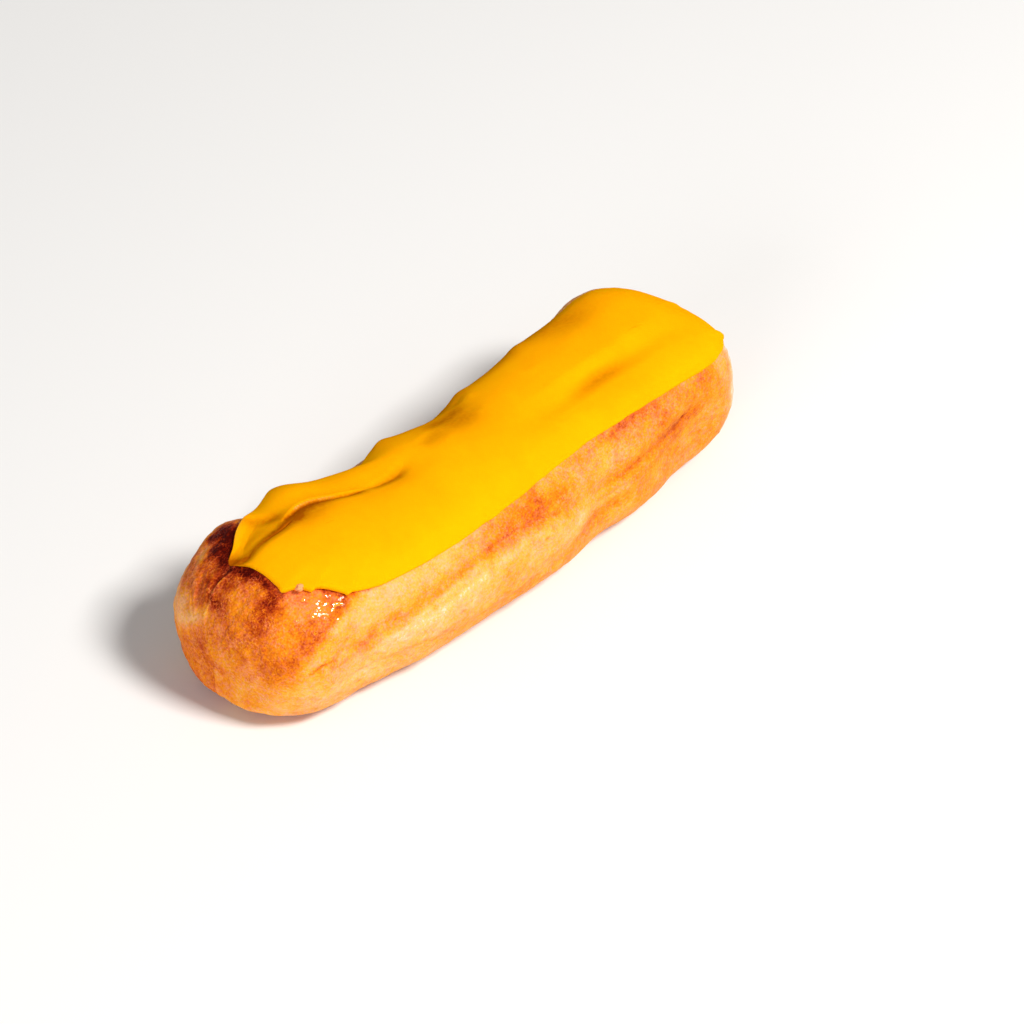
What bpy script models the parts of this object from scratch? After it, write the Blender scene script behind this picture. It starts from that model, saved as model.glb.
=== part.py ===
"""An iced eclair: a baked choux body that lies on its flat foot, under a sheet of yellow fondant icing.

X runs along the eclair, from its round end at -X to its blunt end at +X, and Z is up. Sizes are millimetres
and angles are degrees until the meshes are made. An angle on the skin is measured round the body from its
top line, and grows towards -Y. The origin is on the foot, under the middle of the whole eclair.
"""

import bmesh
import bpy
import numpy as np

METRES = 0.001  # one millimetre

# The choux body: a long bun with a rounded top, a flat foot and two rounded ends.
BODY_LENGTH = 141.5
BODY_WIDTH = 44.4
BODY_HEIGHT = 31.5
WAIST_HEIGHT = 11.6  # the widest line, above the foot
FOOT_SHARE = 0.36  # half width of the flat foot over half width of the body
FOOT_CORNER = 50.0  # the angle below the waist in which the side turns into the foot
TOP_POWER = 2.2  # 2 is an ellipse, more is squarer
CORNER_POWER = 2.1
FOOT_RISE_POWER = 0.38  # how late the foot rises towards the tips: 1 is an ellipse, less is later
ROUND_END = (18.0, 2.3)  # length of the end, and its power
BLUNT_END = (27.0, 2.35)
BEND = 1.9  # the middle lies twice this far to -Y of the ends
SKEW = -1.9  # the blunt end lies this far to -Y of the middle line
CORE_INSET = 20.0  # the line that lumps stand out from ends this far inside the tips

# Lumps and waists from the oven: x, angle, height, half length, half angle.
SWELLS = [
    (-51.5, -45.0, 2.8, 5.5, 26.0),
    (-39.0, -45.0, 2.6, 5.0, 26.0),
    (-25.0, -45.0, -0.5, 6.0, 26.0),
    (0.5, -45.0, -1.7, 7.5, 26.0),
    (31.0, -45.0, 1.4, 10.0, 26.0),
    (52.0, -45.0, 3.3, 12.0, 26.0),
    (-52.0, 95.0, -3.1, 12.5, 40.0),
    (15.5, 95.0, -3.0, 10.5, 40.0),
    (40.0, 95.0, -3.2, 12.0, 40.0),
    (52.0, 95.0, -5.0, 11.5, 40.0),
]

# Furrows between the ridges that the piping tip left: points of the course (x, angle), depth, half width.
FURROWS = [
    (
        [(-68.0, -14.0), (-58.0, -19.0), (-50.0, -24.0), (-43.0, -24.0)]
        + [(-34.0, -17.0), (-27.0, -8.5), (-12.0, -3.0)],
        1.6,
        4.0,
    ),
    ([(2.0, 9.0), (18.0, 12.0), (30.0, 13.5), (46.0, 12.0), (62.0, 16.0)], 1.1, 4.2),
    ([(-66.0, 74.0), (-40.0, 69.0), (-8.0, 60.0), (8.0, 67.0), (32.0, 71.0), (60.0, 60.0)], 1.1, 2.4),
    ([(-60.0, 92.0), (-38.0, 98.0), (6.0, 94.0), (30.0, 85.0), (56.0, 74.0)], 0.8, 2.6),
    ([(-64.0, -70.0), (-20.0, -62.0), (24.0, -68.0), (60.0, -64.0)], 1.1, 2.8),
    ([(-48.0, -101.0), (0.0, -98.0), (50.0, -95.0)], 0.8, 3.0),
]
FURROW_FADE = 0.18  # share of a furrow's length in which it fades in and out

# The icing: points of its border (x, angle), from the middle of the end edge at -X round by its -Y side.
ICING_BORDER = [
    (-59.8, -3.0),
    (-59.7, 7.0),
    (-60.0, 15.0),
    (-58.8, 21.5),
    (-56.0, 27.5),
    (-52.5, 33.0),
    (-49.6, 39.0),
    (-44.0, 43.9),
    (-36.0, 45.6),
    (-24.0, 46.0),
    (-8.0, 43.5),
    (6.0, 40.0),
    (20.0, 38.5),
    (34.0, 40.5),
    (47.0, 43.5),
    (57.0, 46.0),
    (63.5, 42.0),
    (65.2, 30.0),
    (63.5, 12.0),
    (61.5, -8.0),
    (58.5, -24.0),
    (53.0, -32.0),
    (45.0, -36.0),
    (36.0, -41.0),
    (22.0, -46.0),
    (6.0, -47.0),
    (-8.0, -42.0),
    (-15.0, -41.0),
    (-22.0, -32.5),
    (-28.0, -36.0),
    (-36.0, -46.0),
    (-44.0, -43.0),
    (-49.0, -36.5),
    (-53.0, -29.5),
    (-57.0, -24.0),
    (-60.6, -17.0),
    (-60.5, -9.5),
]
ICING_SPINE = ((-42.0, 2.0), (46.0, 2.0))  # the line that the rings of the sheet shrink to
ICING_THICKNESS = 1.7
ICING_GAP = 0.3  # clear of the choux, so that the two solids never touch
LIP_WIDTH = 1.8  # the edge is rounded over this width
LIP_WAIST_SHARE = 0.35  # height of the edge's outermost line over the thickness
LIP_UNDERCUT = 0.5  # the edge turns in this far where it meets the choux
SIDE_SCALE = 0.37  # millimetres of skin to one degree of angle

# How finely the surfaces are cut into facets.
BODY_STATIONS = 66
BODY_ANGLES = 40
TOP_CROWDING = 0.35  # 0 spaces the body's angles evenly, more crowds them on its top
ICING_COLUMNS = 84
ICING_TOP_ROWS = 9
ICING_LIP_ROWS = 4
ICING_UNDER_ROWS = 8


def smooth_step(value):
    """0 below 0, 1 above 1, and an S-shaped rise between them."""
    share = np.clip(value, 0.0, 1.0)
    return share * share * (3.0 - 2.0 * share)


def end_share(x):
    """The share of the full section that is left at x: 1 along the middle, 0 at the tips."""
    end_length = np.where(x < 0.0, ROUND_END[0], BLUNT_END[0])
    power = np.where(x < 0.0, ROUND_END[1], BLUNT_END[1])
    into_end = np.clip((np.abs(x) - (BODY_LENGTH / 2 - end_length)) / end_length, 0.0, 1.0)
    return (1.0 - into_end**power) ** (1.0 / power)


def middle_line(x):
    """The sideways place of the body's middle at x: a bow and a slant."""
    along = 2.0 * x / BODY_LENGTH
    return BEND * (2.0 * along**2 - 1.0) + SKEW * along


def half_width(x):
    """Half of the plain body's width at x."""
    return BODY_WIDTH / 2 * end_share(x)


def plain_section(x, angle):
    """Points of the body without lumps.

    Above the waist the section is a superellipse, and below it a rounded corner turns into the flat foot.
    """
    share = end_share(x)
    side = np.sin(np.radians(angle))
    rise = np.cos(np.radians(angle))
    below = np.degrees(np.arcsin(np.clip(-rise, 0.0, 1.0)))
    corner = np.radians(90.0) * np.clip(below / FOOT_CORNER, 0.0, 1.0)
    inward = np.clip((below - FOOT_CORNER) / (90.0 - FOOT_CORNER), 0.0, 1.0)

    corner_reach = (1.0 - FOOT_SHARE) * np.clip(np.cos(corner), 0.0, 1.0) ** (2.0 / CORNER_POWER)
    lower_reach = FOOT_SHARE * (1.0 - inward) + np.where(below < FOOT_CORNER, corner_reach, 0.0)
    upper_reach = np.abs(side) ** (2.0 / TOP_POWER)
    reach = np.where(rise >= 0.0, upper_reach, lower_reach)

    dome = (BODY_HEIGHT - WAIST_HEIGHT) * share * np.clip(rise, 0.0, 1.0) ** (2.0 / TOP_POWER)
    sink = WAIST_HEIGHT * share**FOOT_RISE_POWER * np.sin(corner) ** (2.0 / CORNER_POWER)
    y = middle_line(x) - np.sign(side) * reach * half_width(x)
    z = WAIST_HEIGHT + np.where(rise >= 0.0, dome, -sink)
    return np.stack(np.broadcast_arrays(x, y, z), axis=-1)


def swell_height(x, angle):
    """How far the lumps stand out (or the waists pull in) at a place: a sum of soft bells."""
    height = np.zeros(np.broadcast(x, angle).shape)
    for swell_x, swell_angle, rise, half_length, half_angle in SWELLS:
        along = (x - swell_x) / half_length
        around = (angle - swell_angle) / half_angle
        height += rise * np.exp(-(along**2) - around**2)
    return height


def course_angle(points, x):
    """The angle of a smooth course through the given (x, angle) points: cubic pieces with matching slopes."""
    places, angles = np.array(points).T
    slopes = np.gradient(angles, places)
    piece = np.clip(np.searchsorted(places, x) - 1, 0, len(places) - 2)
    length = places[piece + 1] - places[piece]
    along = np.clip((x - places[piece]) / length, 0.0, 1.0)
    leave = length * slopes[piece] * along * (1.0 - along) ** 2
    arrive = length * slopes[piece + 1] * (1.0 - along) * along**2
    return angles[piece] + (angles[piece + 1] - angles[piece]) * smooth_step(along) + leave - arrive


def furrow_depth(x, angle):
    """How deep the furrows are at a place: each has a soft trough across it and fades in and out along it."""
    depth = np.zeros(np.broadcast(x, angle).shape)
    for points, deepest, half_breadth in FURROWS:
        start, stop = points[0][0], points[-1][0]
        across = (angle - course_angle(points, x)) * SIDE_SCALE
        along = (x - start) / (stop - start)
        fade = smooth_step(along / FURROW_FADE) * smooth_step((1.0 - along) / FURROW_FADE)
        depth += deepest * fade / (1.0 + (across / half_breadth) ** 2)
    return depth


def skin(x, angle, lift=0.0):
    """Points on the choux skin, or a lift above it: the plain section moved out from a core line.

    The move fades out towards the foot, which stays flat, and towards the tips.
    """
    points = plain_section(x, angle)
    core_x = np.clip(x, CORE_INSET - BODY_LENGTH / 2, BODY_LENGTH / 2 - CORE_INSET)
    core = np.stack(np.broadcast_arrays(core_x, middle_line(core_x), WAIST_HEIGHT), axis=-1)
    outward = points - core
    outward /= np.linalg.norm(outward, axis=-1, keepdims=True)
    above_foot = smooth_step((90.0 + FOOT_CORNER - np.abs(angle)) / FOOT_CORNER)
    relief = (swell_height(x, angle) - furrow_depth(x, angle)) * above_foot * np.sqrt(end_share(x))
    return points + outward * (relief + lift)[..., None]


def even_stations(count):
    """Places along the body that are evenly spaced along its outline seen from above, tip to tip."""
    fine = np.linspace(-1.0, 1.0, 4001)
    x = BODY_LENGTH / 2 * np.sign(fine) * (1.0 - (1.0 - np.abs(fine)) ** 3)
    travelled = np.concatenate([[0.0], np.cumsum(np.hypot(np.diff(x), np.diff(half_width(x))))])
    return np.interp(np.linspace(0.0, travelled[-1], count), travelled, x)


def closed_curve(points, count):
    """Points evenly spaced on a smooth closed curve through the given ones (Catmull-Rom)."""
    corners = np.array(points) * (1.0, SIDE_SCALE)
    share = np.linspace(0.0, 1.0, 24, endpoint=False)[:, None, None]
    before, here, after, beyond = (np.roll(corners, shift, axis=0) for shift in (1, 0, -1, -2))
    curve = 0.5 * (
        2.0 * here
        + (after - before) * share
        + (2.0 * before - 5.0 * here + 4.0 * after - beyond) * share**2
        + (3.0 * here - before - 3.0 * after + beyond) * share**3
    )
    curve = curve.transpose(1, 0, 2).reshape(-1, 2)
    curve = np.vstack([curve, curve[:1]])
    travelled = np.concatenate([[0.0], np.cumsum(np.hypot(*np.diff(curve, axis=0).T))])
    places = np.linspace(0.0, travelled[-1], count, endpoint=False)
    return np.stack([np.interp(places, travelled, curve[:, axis]) for axis in (0, 1)], axis=-1)


def icing_profile():
    """Rows of the sheet's section: inset from the border (share and millimetres) and height (share).

    The top runs from the spine out to the lip, the lip turns round to the choux, and the underside runs back.
    """
    top = [(share, LIP_WIDTH, 1.0) for share in np.linspace(1.0, 0.0, ICING_TOP_ROWS, endpoint=False)]
    turns = np.radians(np.linspace(0.0, 90.0, ICING_LIP_ROWS + 1))
    lip = [
        (0.0, LIP_WIDTH * (1.0 - np.sin(turn)), LIP_WAIST_SHARE + (1.0 - LIP_WAIST_SHARE) * np.cos(turn))
        for turn in turns
    ]
    under = [(share, LIP_UNDERCUT, 0.0) for share in np.linspace(0.0, 1.0, ICING_UNDER_ROWS)]
    return top + lip + under


def icing_points():
    """The sheet's points, one row for each row of the profile and one column for each place on the border."""
    border = closed_curve(ICING_BORDER, ICING_COLUMNS)
    half = ICING_COLUMNS // 2
    step = np.arange(ICING_COLUMNS)
    along = np.minimum(step, ICING_COLUMNS - step) / half
    spine_start, spine_end = (np.array(point) * (1.0, SIDE_SCALE) for point in ICING_SPINE)
    spine = spine_start + (spine_end - spine_start) * along[:, None]
    inward = spine - border
    length = np.linalg.norm(inward, axis=-1)
    rows = []
    for share, inset, height in icing_profile():
        travel = (inset + share * (length - inset)) / length
        place = border + inward * travel[:, None]
        rows.append(skin(place[:, 0], place[:, 1] / SIDE_SCALE, ICING_GAP + ICING_THICKNESS * height))
    return np.array(rows)


def choux_rings():
    """Rings of the body from tip to tip, without the two tips, and the tips themselves."""
    turn = np.linspace(-180.0, 180.0, BODY_ANGLES, endpoint=False)
    angle = turn - np.degrees(TOP_CROWDING * np.sin(np.radians(turn)))
    stations = even_stations(BODY_STATIONS)
    rings = skin(stations[1:-1, None], angle[None, :])
    tips = plain_section(stations[[0, -1]], np.array([0.0, 0.0]))
    return rings, tips


def add_object(name, mesh_data, material):
    """Turn a bmesh into a smooth-shaded object of its own."""
    bmesh.ops.recalc_face_normals(mesh_data, faces=mesh_data.faces)
    mesh = bpy.data.meshes.new(name)
    mesh_data.to_mesh(mesh)
    mesh_data.free()
    mesh.shade_smooth()
    mesh.materials.append(material)
    piece = bpy.data.objects.new(name, mesh)
    bpy.context.scene.collection.objects.link(piece)
    return piece


def join_rings(mesh_data, lower, upper):
    """Fill the band between two closed rings of vertices with four-sided faces."""
    for here in range(len(lower)):
        there = (here + 1) % len(lower)
        mesh_data.faces.new((lower[here], lower[there], upper[there], upper[here]))


def build_choux(rings, tips, material):
    """The body: rings joined one to the next, closed by a fan at each tip."""
    mesh_data = bmesh.new()
    loops = [[mesh_data.verts.new(point) for point in ring] for ring in rings]
    for lower, upper in zip(loops, loops[1:]):
        join_rings(mesh_data, lower, upper)
    for tip, loop in ((tips[0], loops[0]), (tips[1], loops[-1])):
        centre = mesh_data.verts.new(tip)
        for here in range(len(loop)):
            mesh_data.faces.new((centre, loop[here], loop[(here + 1) % len(loop)]))
    return add_object("choux_body", mesh_data, material)


def build_icing(rows, material):
    """The sheet: closed rows joined one to the next. Its first and last rows are folded flat onto the spine."""
    mesh_data = bmesh.new()
    columns = rows.shape[1]
    loops = []
    for number, row in enumerate(rows):
        if number in (0, len(rows) - 1):
            spine = [mesh_data.verts.new(point) for point in row[: columns // 2 + 1]]
            loops.append([spine[min(column, columns - column)] for column in range(columns)])
        else:
            loops.append([mesh_data.verts.new(point) for point in row])
    for lower, upper in zip(loops, loops[1:]):
        join_rings(mesh_data, lower, upper)
    return add_object("fondant_icing", mesh_data, material)


def make_material(name, colour, roughness):
    """A plain Principled material."""
    material = bpy.data.materials.new(name)
    material.use_nodes = True
    shader = material.node_tree.nodes["Principled BSDF"]
    shader.inputs["Base Color"].default_value = (*colour, 1.0)
    shader.inputs["Roughness"].default_value = roughness
    shader.inputs["Metallic"].default_value = 0.0
    return material


def main():
    """Empty the scene, then build the two pieces round one shared origin."""
    for leftover in list(bpy.data.objects):
        bpy.data.objects.remove(leftover)

    rings, tips = choux_rings()
    rows = icing_points()
    everything = np.vstack([rings.reshape(-1, 3), tips, rows.reshape(-1, 3)])
    middle = (everything.min(axis=0) + everything.max(axis=0)) / 2
    origin = np.array([middle[0], middle[1], everything[:, 2].min()])

    crust = make_material("baked_crust", (0.86, 0.42, 0.12), 0.55)
    fondant = make_material("yellow_fondant", (1.0, 0.52, 0.01), 0.35)
    build_choux((rings - origin) * METRES, (tips - origin) * METRES, crust)
    build_icing((rows - origin) * METRES, fondant)


main()
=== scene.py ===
# %% [markdown]
# # An iced eclair, finished round its frame
# An eclair is a finger of choux pastry. It is piped through a ridged tip, puffs up in the oven, and is dipped
# top down in fondant icing. The frame holds two plain solids, the bun and the icing, at their real size. This
# lesson gives both a fine surface and a finish, and adds a few drops of syrup and a crumb.
# All shapes are worked out in millimetres and degrees, and turned into metres when a mesh is made.

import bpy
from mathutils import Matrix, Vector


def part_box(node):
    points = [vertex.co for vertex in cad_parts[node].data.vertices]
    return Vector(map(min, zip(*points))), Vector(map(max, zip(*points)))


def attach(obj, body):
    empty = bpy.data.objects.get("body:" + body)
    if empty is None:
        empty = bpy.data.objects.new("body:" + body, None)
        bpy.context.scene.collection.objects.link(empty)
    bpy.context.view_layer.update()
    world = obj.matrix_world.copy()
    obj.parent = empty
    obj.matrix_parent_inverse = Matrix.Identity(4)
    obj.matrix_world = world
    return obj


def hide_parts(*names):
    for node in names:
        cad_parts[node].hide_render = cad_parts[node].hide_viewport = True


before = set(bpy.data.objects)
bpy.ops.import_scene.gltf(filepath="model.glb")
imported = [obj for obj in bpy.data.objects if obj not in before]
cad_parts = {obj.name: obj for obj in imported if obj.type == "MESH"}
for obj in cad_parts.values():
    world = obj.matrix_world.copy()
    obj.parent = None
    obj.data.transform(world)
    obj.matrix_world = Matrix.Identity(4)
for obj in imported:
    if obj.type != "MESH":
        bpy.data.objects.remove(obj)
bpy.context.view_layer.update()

# %% Tools of this lesson
import itertools

import bpy
import numpy as np
from mathutils import Vector

METRES = 0.001  # one millimetre


def smooth_step(value):
    """0 below 0, 1 above 1, and between them the S-curve 3t^2 - 2t^3."""
    share = np.clip(value, 0.0, 1.0)
    return share * share * (3.0 - 2.0 * share)


def unit(vectors):
    """The same directions with length 1."""
    return vectors / np.maximum(np.linalg.norm(vectors, axis=-1, keepdims=True), 1e-9)


# %% [markdown]
# ## The plain bun
# A baked bun has a round top, a widest line low down and a flat foot. One could sculpt it, or loft it through
# drawn sections. A superellipse is shorter to write and never dents by accident: |u|^p + |v|^p = 1, where
# p = 2 is an ellipse and a larger p is squarer. The numbers are those of the frame's solid, so the fine
# surface lies on it. X runs along the bun from its round end, and an angle is measured round the body from
# its top line towards -Y.

# %% Sizes of the bun
BODY_LENGTH = 141.5
BODY_WIDTH = 44.4
BODY_HEIGHT = 31.5
WAIST_HEIGHT = 11.6  # the widest line, above the foot
FOOT_SHARE = 0.36  # half width of the flat foot over half width of the body
FOOT_CORNER = 50.0  # the angle below the waist in which the side turns into the foot
TOP_POWER = 2.2
CORNER_POWER = 2.1
FOOT_RISE_POWER = 0.38  # how late the foot rises towards the tips
ROUND_END = (18.0, 2.3)  # length of the end, and its power
BLUNT_END = (27.0, 2.35)
BEND = 1.9
SKEW = -1.9
CORE_INSET = 20.0  # the core line, which lumps stand out from, ends this far inside the tips
HALF_LENGTH = BODY_LENGTH / 2


def end_share(x):
    """The share of the full section left at x: (1 - u^p)^(1/p), where u runs from 0 to 1 along each end."""
    end_length = np.where(x < 0.0, ROUND_END[0], BLUNT_END[0])
    power = np.where(x < 0.0, ROUND_END[1], BLUNT_END[1])
    into_end = np.clip((np.abs(x) - (HALF_LENGTH - end_length)) / end_length, 0.0, 1.0)
    return (1.0 - into_end**power) ** (1.0 / power)


def middle_line(x):
    """The sideways place of the body's middle: a parabola for the bow and a straight line for the slant."""
    along = x / HALF_LENGTH
    return BEND * (2.0 * along**2 - 1.0) + SKEW * along


def plain_section(x, angle):
    """Points of the bare bun: a superellipse above the waist, and a superelliptic corner and flat foot below.

    Above, y is |sin a|^(2/p) and z is (cos a)^(2/p). Below, the corner turns through a quarter and the rest
    of the angle runs inwards along the foot.
    """
    share = end_share(x)
    side = np.sin(np.radians(angle))
    rise = np.cos(np.radians(angle))
    below = np.degrees(np.arcsin(np.clip(-rise, 0.0, 1.0)))
    corner = np.radians(90.0) * np.clip(below / FOOT_CORNER, 0.0, 1.0)
    inward = np.clip((below - FOOT_CORNER) / (90.0 - FOOT_CORNER), 0.0, 1.0)

    corner_reach = (1.0 - FOOT_SHARE) * np.clip(np.cos(corner), 0.0, 1.0) ** (2.0 / CORNER_POWER)
    lower_reach = FOOT_SHARE * (1.0 - inward) + np.where(below < FOOT_CORNER, corner_reach, 0.0)
    upper_reach = np.abs(side) ** (2.0 / TOP_POWER)
    reach = np.where(rise >= 0.0, upper_reach, lower_reach)

    dome = (BODY_HEIGHT - WAIST_HEIGHT) * share * np.clip(rise, 0.0, 1.0) ** (2.0 / TOP_POWER)
    sink = WAIST_HEIGHT * share**FOOT_RISE_POWER * np.sin(corner) ** (2.0 / CORNER_POWER)
    y = middle_line(x) - np.sign(side) * reach * BODY_WIDTH / 2 * share
    z = WAIST_HEIGHT + np.where(rise >= 0.0, dome, -sink)
    return np.stack(np.broadcast_arrays(x, y, z), axis=-1)


print("bare bun at its middle:", plain_section(np.zeros(3), np.array([0.0, 90.0, 180.0])).round(1).tolist())

# %% [markdown]
# ## Swells and furrows
# In the oven the bun swells in some places and stays waisted in others, and the ridges from the piping tip
# leave furrows between them. A swell is a soft bell on the unrolled skin. A furrow is a trough that follows a
# smooth course. Both are kept as short lists in the frame's own numbers.

# %% Swells and furrows of the frame's solid
SWELLS = [  # x, angle, height, half length, half angle
    (-51.5, -45.0, 2.8, 5.5, 26.0),
    (-39.0, -45.0, 2.6, 5.0, 26.0),
    (-25.0, -45.0, -0.5, 6.0, 26.0),
    (0.5, -45.0, -1.7, 7.5, 26.0),
    (31.0, -45.0, 1.4, 10.0, 26.0),
    (52.0, -45.0, 3.3, 12.0, 26.0),
    (-52.0, 95.0, -3.1, 12.5, 40.0),
    (15.5, 95.0, -3.0, 10.5, 40.0),
    (40.0, 95.0, -3.2, 12.0, 40.0),
    (52.0, 95.0, -5.0, 11.5, 40.0),
]
FURROWS = [  # points of the course (x, angle), depth, half width
    ([(-68.0, -14.0), (-58.0, -19.0), (-50.0, -24.0), (-43.0, -24.0), (-34.0, -17.0), (-27.0, -8.5), (-12.0, -3.0)], 1.6, 4.0),
    ([(2.0, 9.0), (18.0, 12.0), (30.0, 13.5), (46.0, 12.0), (62.0, 16.0)], 1.1, 4.2),
    ([(-66.0, 74.0), (-40.0, 69.0), (-8.0, 60.0), (8.0, 67.0), (32.0, 71.0), (60.0, 60.0)], 1.1, 2.4),
    ([(-60.0, 92.0), (-38.0, 98.0), (6.0, 94.0), (30.0, 85.0), (56.0, 74.0)], 0.8, 2.6),
    ([(-64.0, -70.0), (-20.0, -62.0), (24.0, -68.0), (60.0, -64.0)], 1.1, 2.8),
    ([(-48.0, -101.0), (0.0, -98.0), (50.0, -95.0)], 0.8, 3.0),
]
FURROW_FADE = 0.18  # share of a furrow's length in which it fades in and out
SIDE_SCALE = 0.37  # millimetres of skin to one degree of angle


def swell_height(x, angle):
    """How far the swells stand out: a sum of bells h exp(-(dx/a)^2 - (dangle/b)^2)."""
    height = np.zeros(np.broadcast(x, angle).shape)
    for swell_x, swell_angle, rise, half_length, half_angle in SWELLS:
        height += rise * np.exp(-(((x - swell_x) / half_length) ** 2) - ((angle - swell_angle) / half_angle) ** 2)
    return height


def course_angle(points, x):
    """The angle of a smooth course through (x, angle) points: cubic pieces whose slopes match where they meet."""
    places, angles = np.array(points).T
    slopes = np.gradient(angles, places)
    piece = np.clip(np.searchsorted(places, x) - 1, 0, len(places) - 2)
    length = places[piece + 1] - places[piece]
    along = np.clip((x - places[piece]) / length, 0.0, 1.0)
    leave = length * slopes[piece] * along * (1.0 - along) ** 2
    arrive = length * slopes[piece + 1] * (1.0 - along) * along**2
    return angles[piece] + (angles[piece + 1] - angles[piece]) * smooth_step(along) + leave - arrive


def furrow_depth(x, angle):
    """How deep the furrows are: d / (1 + (across / w)^2), faded in and out along each course."""
    depth = np.zeros(np.broadcast(x, angle).shape)
    for points, deepest, half_breadth in FURROWS:
        start, stop = points[0][0], points[-1][0]
        across = (angle - course_angle(points, x)) * SIDE_SCALE
        along = (x - start) / (stop - start)
        fade = smooth_step(along / FURROW_FADE) * smooth_step((1.0 - along) / FURROW_FADE)
        depth += deepest * fade / (1.0 + (across / half_breadth) ** 2)
    return depth


def skin(x, angle):
    """Points on the smooth skin, and the way out of it at each: the bare section, moved away from the core line
    by the swells less the furrows. The move fades out towards the flat foot and the tips."""
    points = plain_section(x, angle)
    core_x = np.clip(x, CORE_INSET - HALF_LENGTH, HALF_LENGTH - CORE_INSET)
    core = np.stack(np.broadcast_arrays(core_x, middle_line(core_x), np.full_like(core_x, WAIST_HEIGHT)), axis=-1)
    outward = unit(points - core)
    relief = (swell_height(x, angle) - furrow_depth(x, angle)) * above_foot(angle) * np.sqrt(end_share(x))
    return points + outward * relief[..., None], outward


def above_foot(angle):
    """1 on the top and sides, falling to 0 where the corner meets the flat foot."""
    return smooth_step((90.0 + FOOT_CORNER - np.abs(angle)) / FOOT_CORNER)


# %% [markdown]
# ## The grid of the bun
# The skin is a function of two numbers, so its mesh is a grid: rings from tip to tip, each with the same count
# of points. Rings are spaced evenly along the outline seen from above, or the ends would get too few. Where
# icing hides the top, the points of a ring are drawn down to its sides, where they show.

# %% Rings and their angles
BODY_RINGS = 400
RING_POINTS = 248
SIDE_CROWDING = 0.25  # 0 spaces the angles evenly, 0.5 would draw them all to the sides
UNCOVERED = 57.0  # beyond this x the top shows, and angles are even


def even_stations(count):
    """Places along the body, evenly spaced along the outline seen from above."""
    fine = np.linspace(-1.0, 1.0, 4001)
    x = HALF_LENGTH * np.sign(fine) * (1.0 - (1.0 - np.abs(fine)) ** 3)
    outline = BODY_WIDTH / 2 * end_share(x)
    travelled = np.concatenate([[0.0], np.cumsum(np.hypot(np.diff(x), np.diff(outline)))])
    return np.interp(np.linspace(0.0, travelled[-1], count), travelled, x)


station = even_stations(BODY_RINGS + 2)[:, None]
turn = np.linspace(-180.0, 180.0, RING_POINTS, endpoint=False)[None, :]
covered = smooth_step((UNCOVERED - np.abs(station)) / 8.0)
ring_angle = turn + covered * np.degrees(SIDE_CROWDING * np.sin(np.radians(2.0 * turn)))
ring_x = np.broadcast_to(station, ring_angle.shape)
smooth_points, way_out = skin(ring_x, ring_angle)

frame_low, frame_high = (np.array(corner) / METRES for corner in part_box("choux_body"))
own_low, own_high = smooth_points.reshape(-1, 3).min(axis=0), smooth_points.reshape(-1, 3).max(axis=0)
origin = (own_low + own_high - frame_low - frame_high) / 2
origin[2] = own_low[2] - frame_low[2]
print("bun", (own_high - own_low).round(2), "mm, frame", (frame_high - frame_low).round(2), "origin", origin.round(3))

# %% [markdown]
# ## Noise, patches and lines
# Three helpers place everything that is smaller than a swell. Soft noise gives unevenness without a seam,
# because it reads places in space and not on a map. A patch is an ellipse laid on the skin with soft edges.
# A line is a smooth path on the skin, and says for each point how far it lies to the side of the path.

# %% Helpers on the skin
NOISE_TILES = 32
TILT = np.linalg.qr(np.random.default_rng(5).normal(size=(3, 3)))[0]  # keeps the noise's cubes off the axes


def soft_noise(points, size, seed):
    """Smooth noise from -1 to 1. Space is cut into cubes of the given size, each corner holds a random number,
    and between corners the numbers are blended by the S-curve along each axis."""
    corner_values = np.random.default_rng(seed).uniform(-1.0, 1.0, (NOISE_TILES,) * 3)
    scaled = points / size
    cell = np.floor(scaled).astype(int)
    share = smooth_step(scaled - cell)
    total = np.zeros(points.shape[:-1])
    for corner in itertools.product((0, 1), repeat=3):
        weight = np.prod(np.where(corner, share, 1.0 - share), axis=-1)
        total += weight * corner_values[tuple(np.moveaxis((cell + corner) % NOISE_TILES, -1, 0))]
    return total


def lengthwise(x, angle, stretch):
    """Places on an unrolled, shortened bun, so that noise there is drawn out along the ridges."""
    radius = SIDE_SCALE * 180.0 / np.pi
    turned = np.radians(angle)
    return np.stack(np.broadcast_arrays(x / stretch, radius * np.sin(turned), radius * np.cos(turned)), axis=-1)


def laid_patch(points, x, angle, along, around):
    """A soft ellipse laid on the skin: exp(-(u/a)^2 - (v/b)^2), u and v being measured along and round the body
    from its centre. Points on the far side of the body are left out by the distance straight through."""
    centre, outward = skin(np.float64(x), np.float64(angle))
    ahead = unit(skin(np.float64(x + 0.05), np.float64(angle))[0] - centre)
    ahead = unit(ahead - outward * (ahead @ outward))
    round_it = np.cross(outward, ahead)
    offset = points - centre
    depth = (offset @ outward) / max(along, around)
    return np.exp(-(((offset @ ahead) / along) ** 2) - ((offset @ round_it) / around) ** 2 - depth**2)


def smooth_line(places, count):
    """Points evenly spaced on a smooth curve through (x, angle) places (Catmull-Rom), as x and angle arrays."""
    corners = np.array(places) * (1.0, SIDE_SCALE)
    corners = np.vstack([2 * corners[0] - corners[1], corners, 2 * corners[-1] - corners[-2]])
    share = np.linspace(0.0, 1.0, 16, endpoint=False)[:, None]
    pieces = [catmull_rom(corners[n : n + 4], share) for n in range(len(corners) - 3)]
    curve = np.vstack([*pieces, corners[-2]])
    travelled = np.concatenate([[0.0], np.cumsum(np.hypot(*np.diff(curve, axis=0).T))])
    along = np.linspace(0.0, travelled[-1], count)
    return np.interp(along, travelled, curve[:, 0]), np.interp(along, travelled, curve[:, 1]) / SIDE_SCALE


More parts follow.
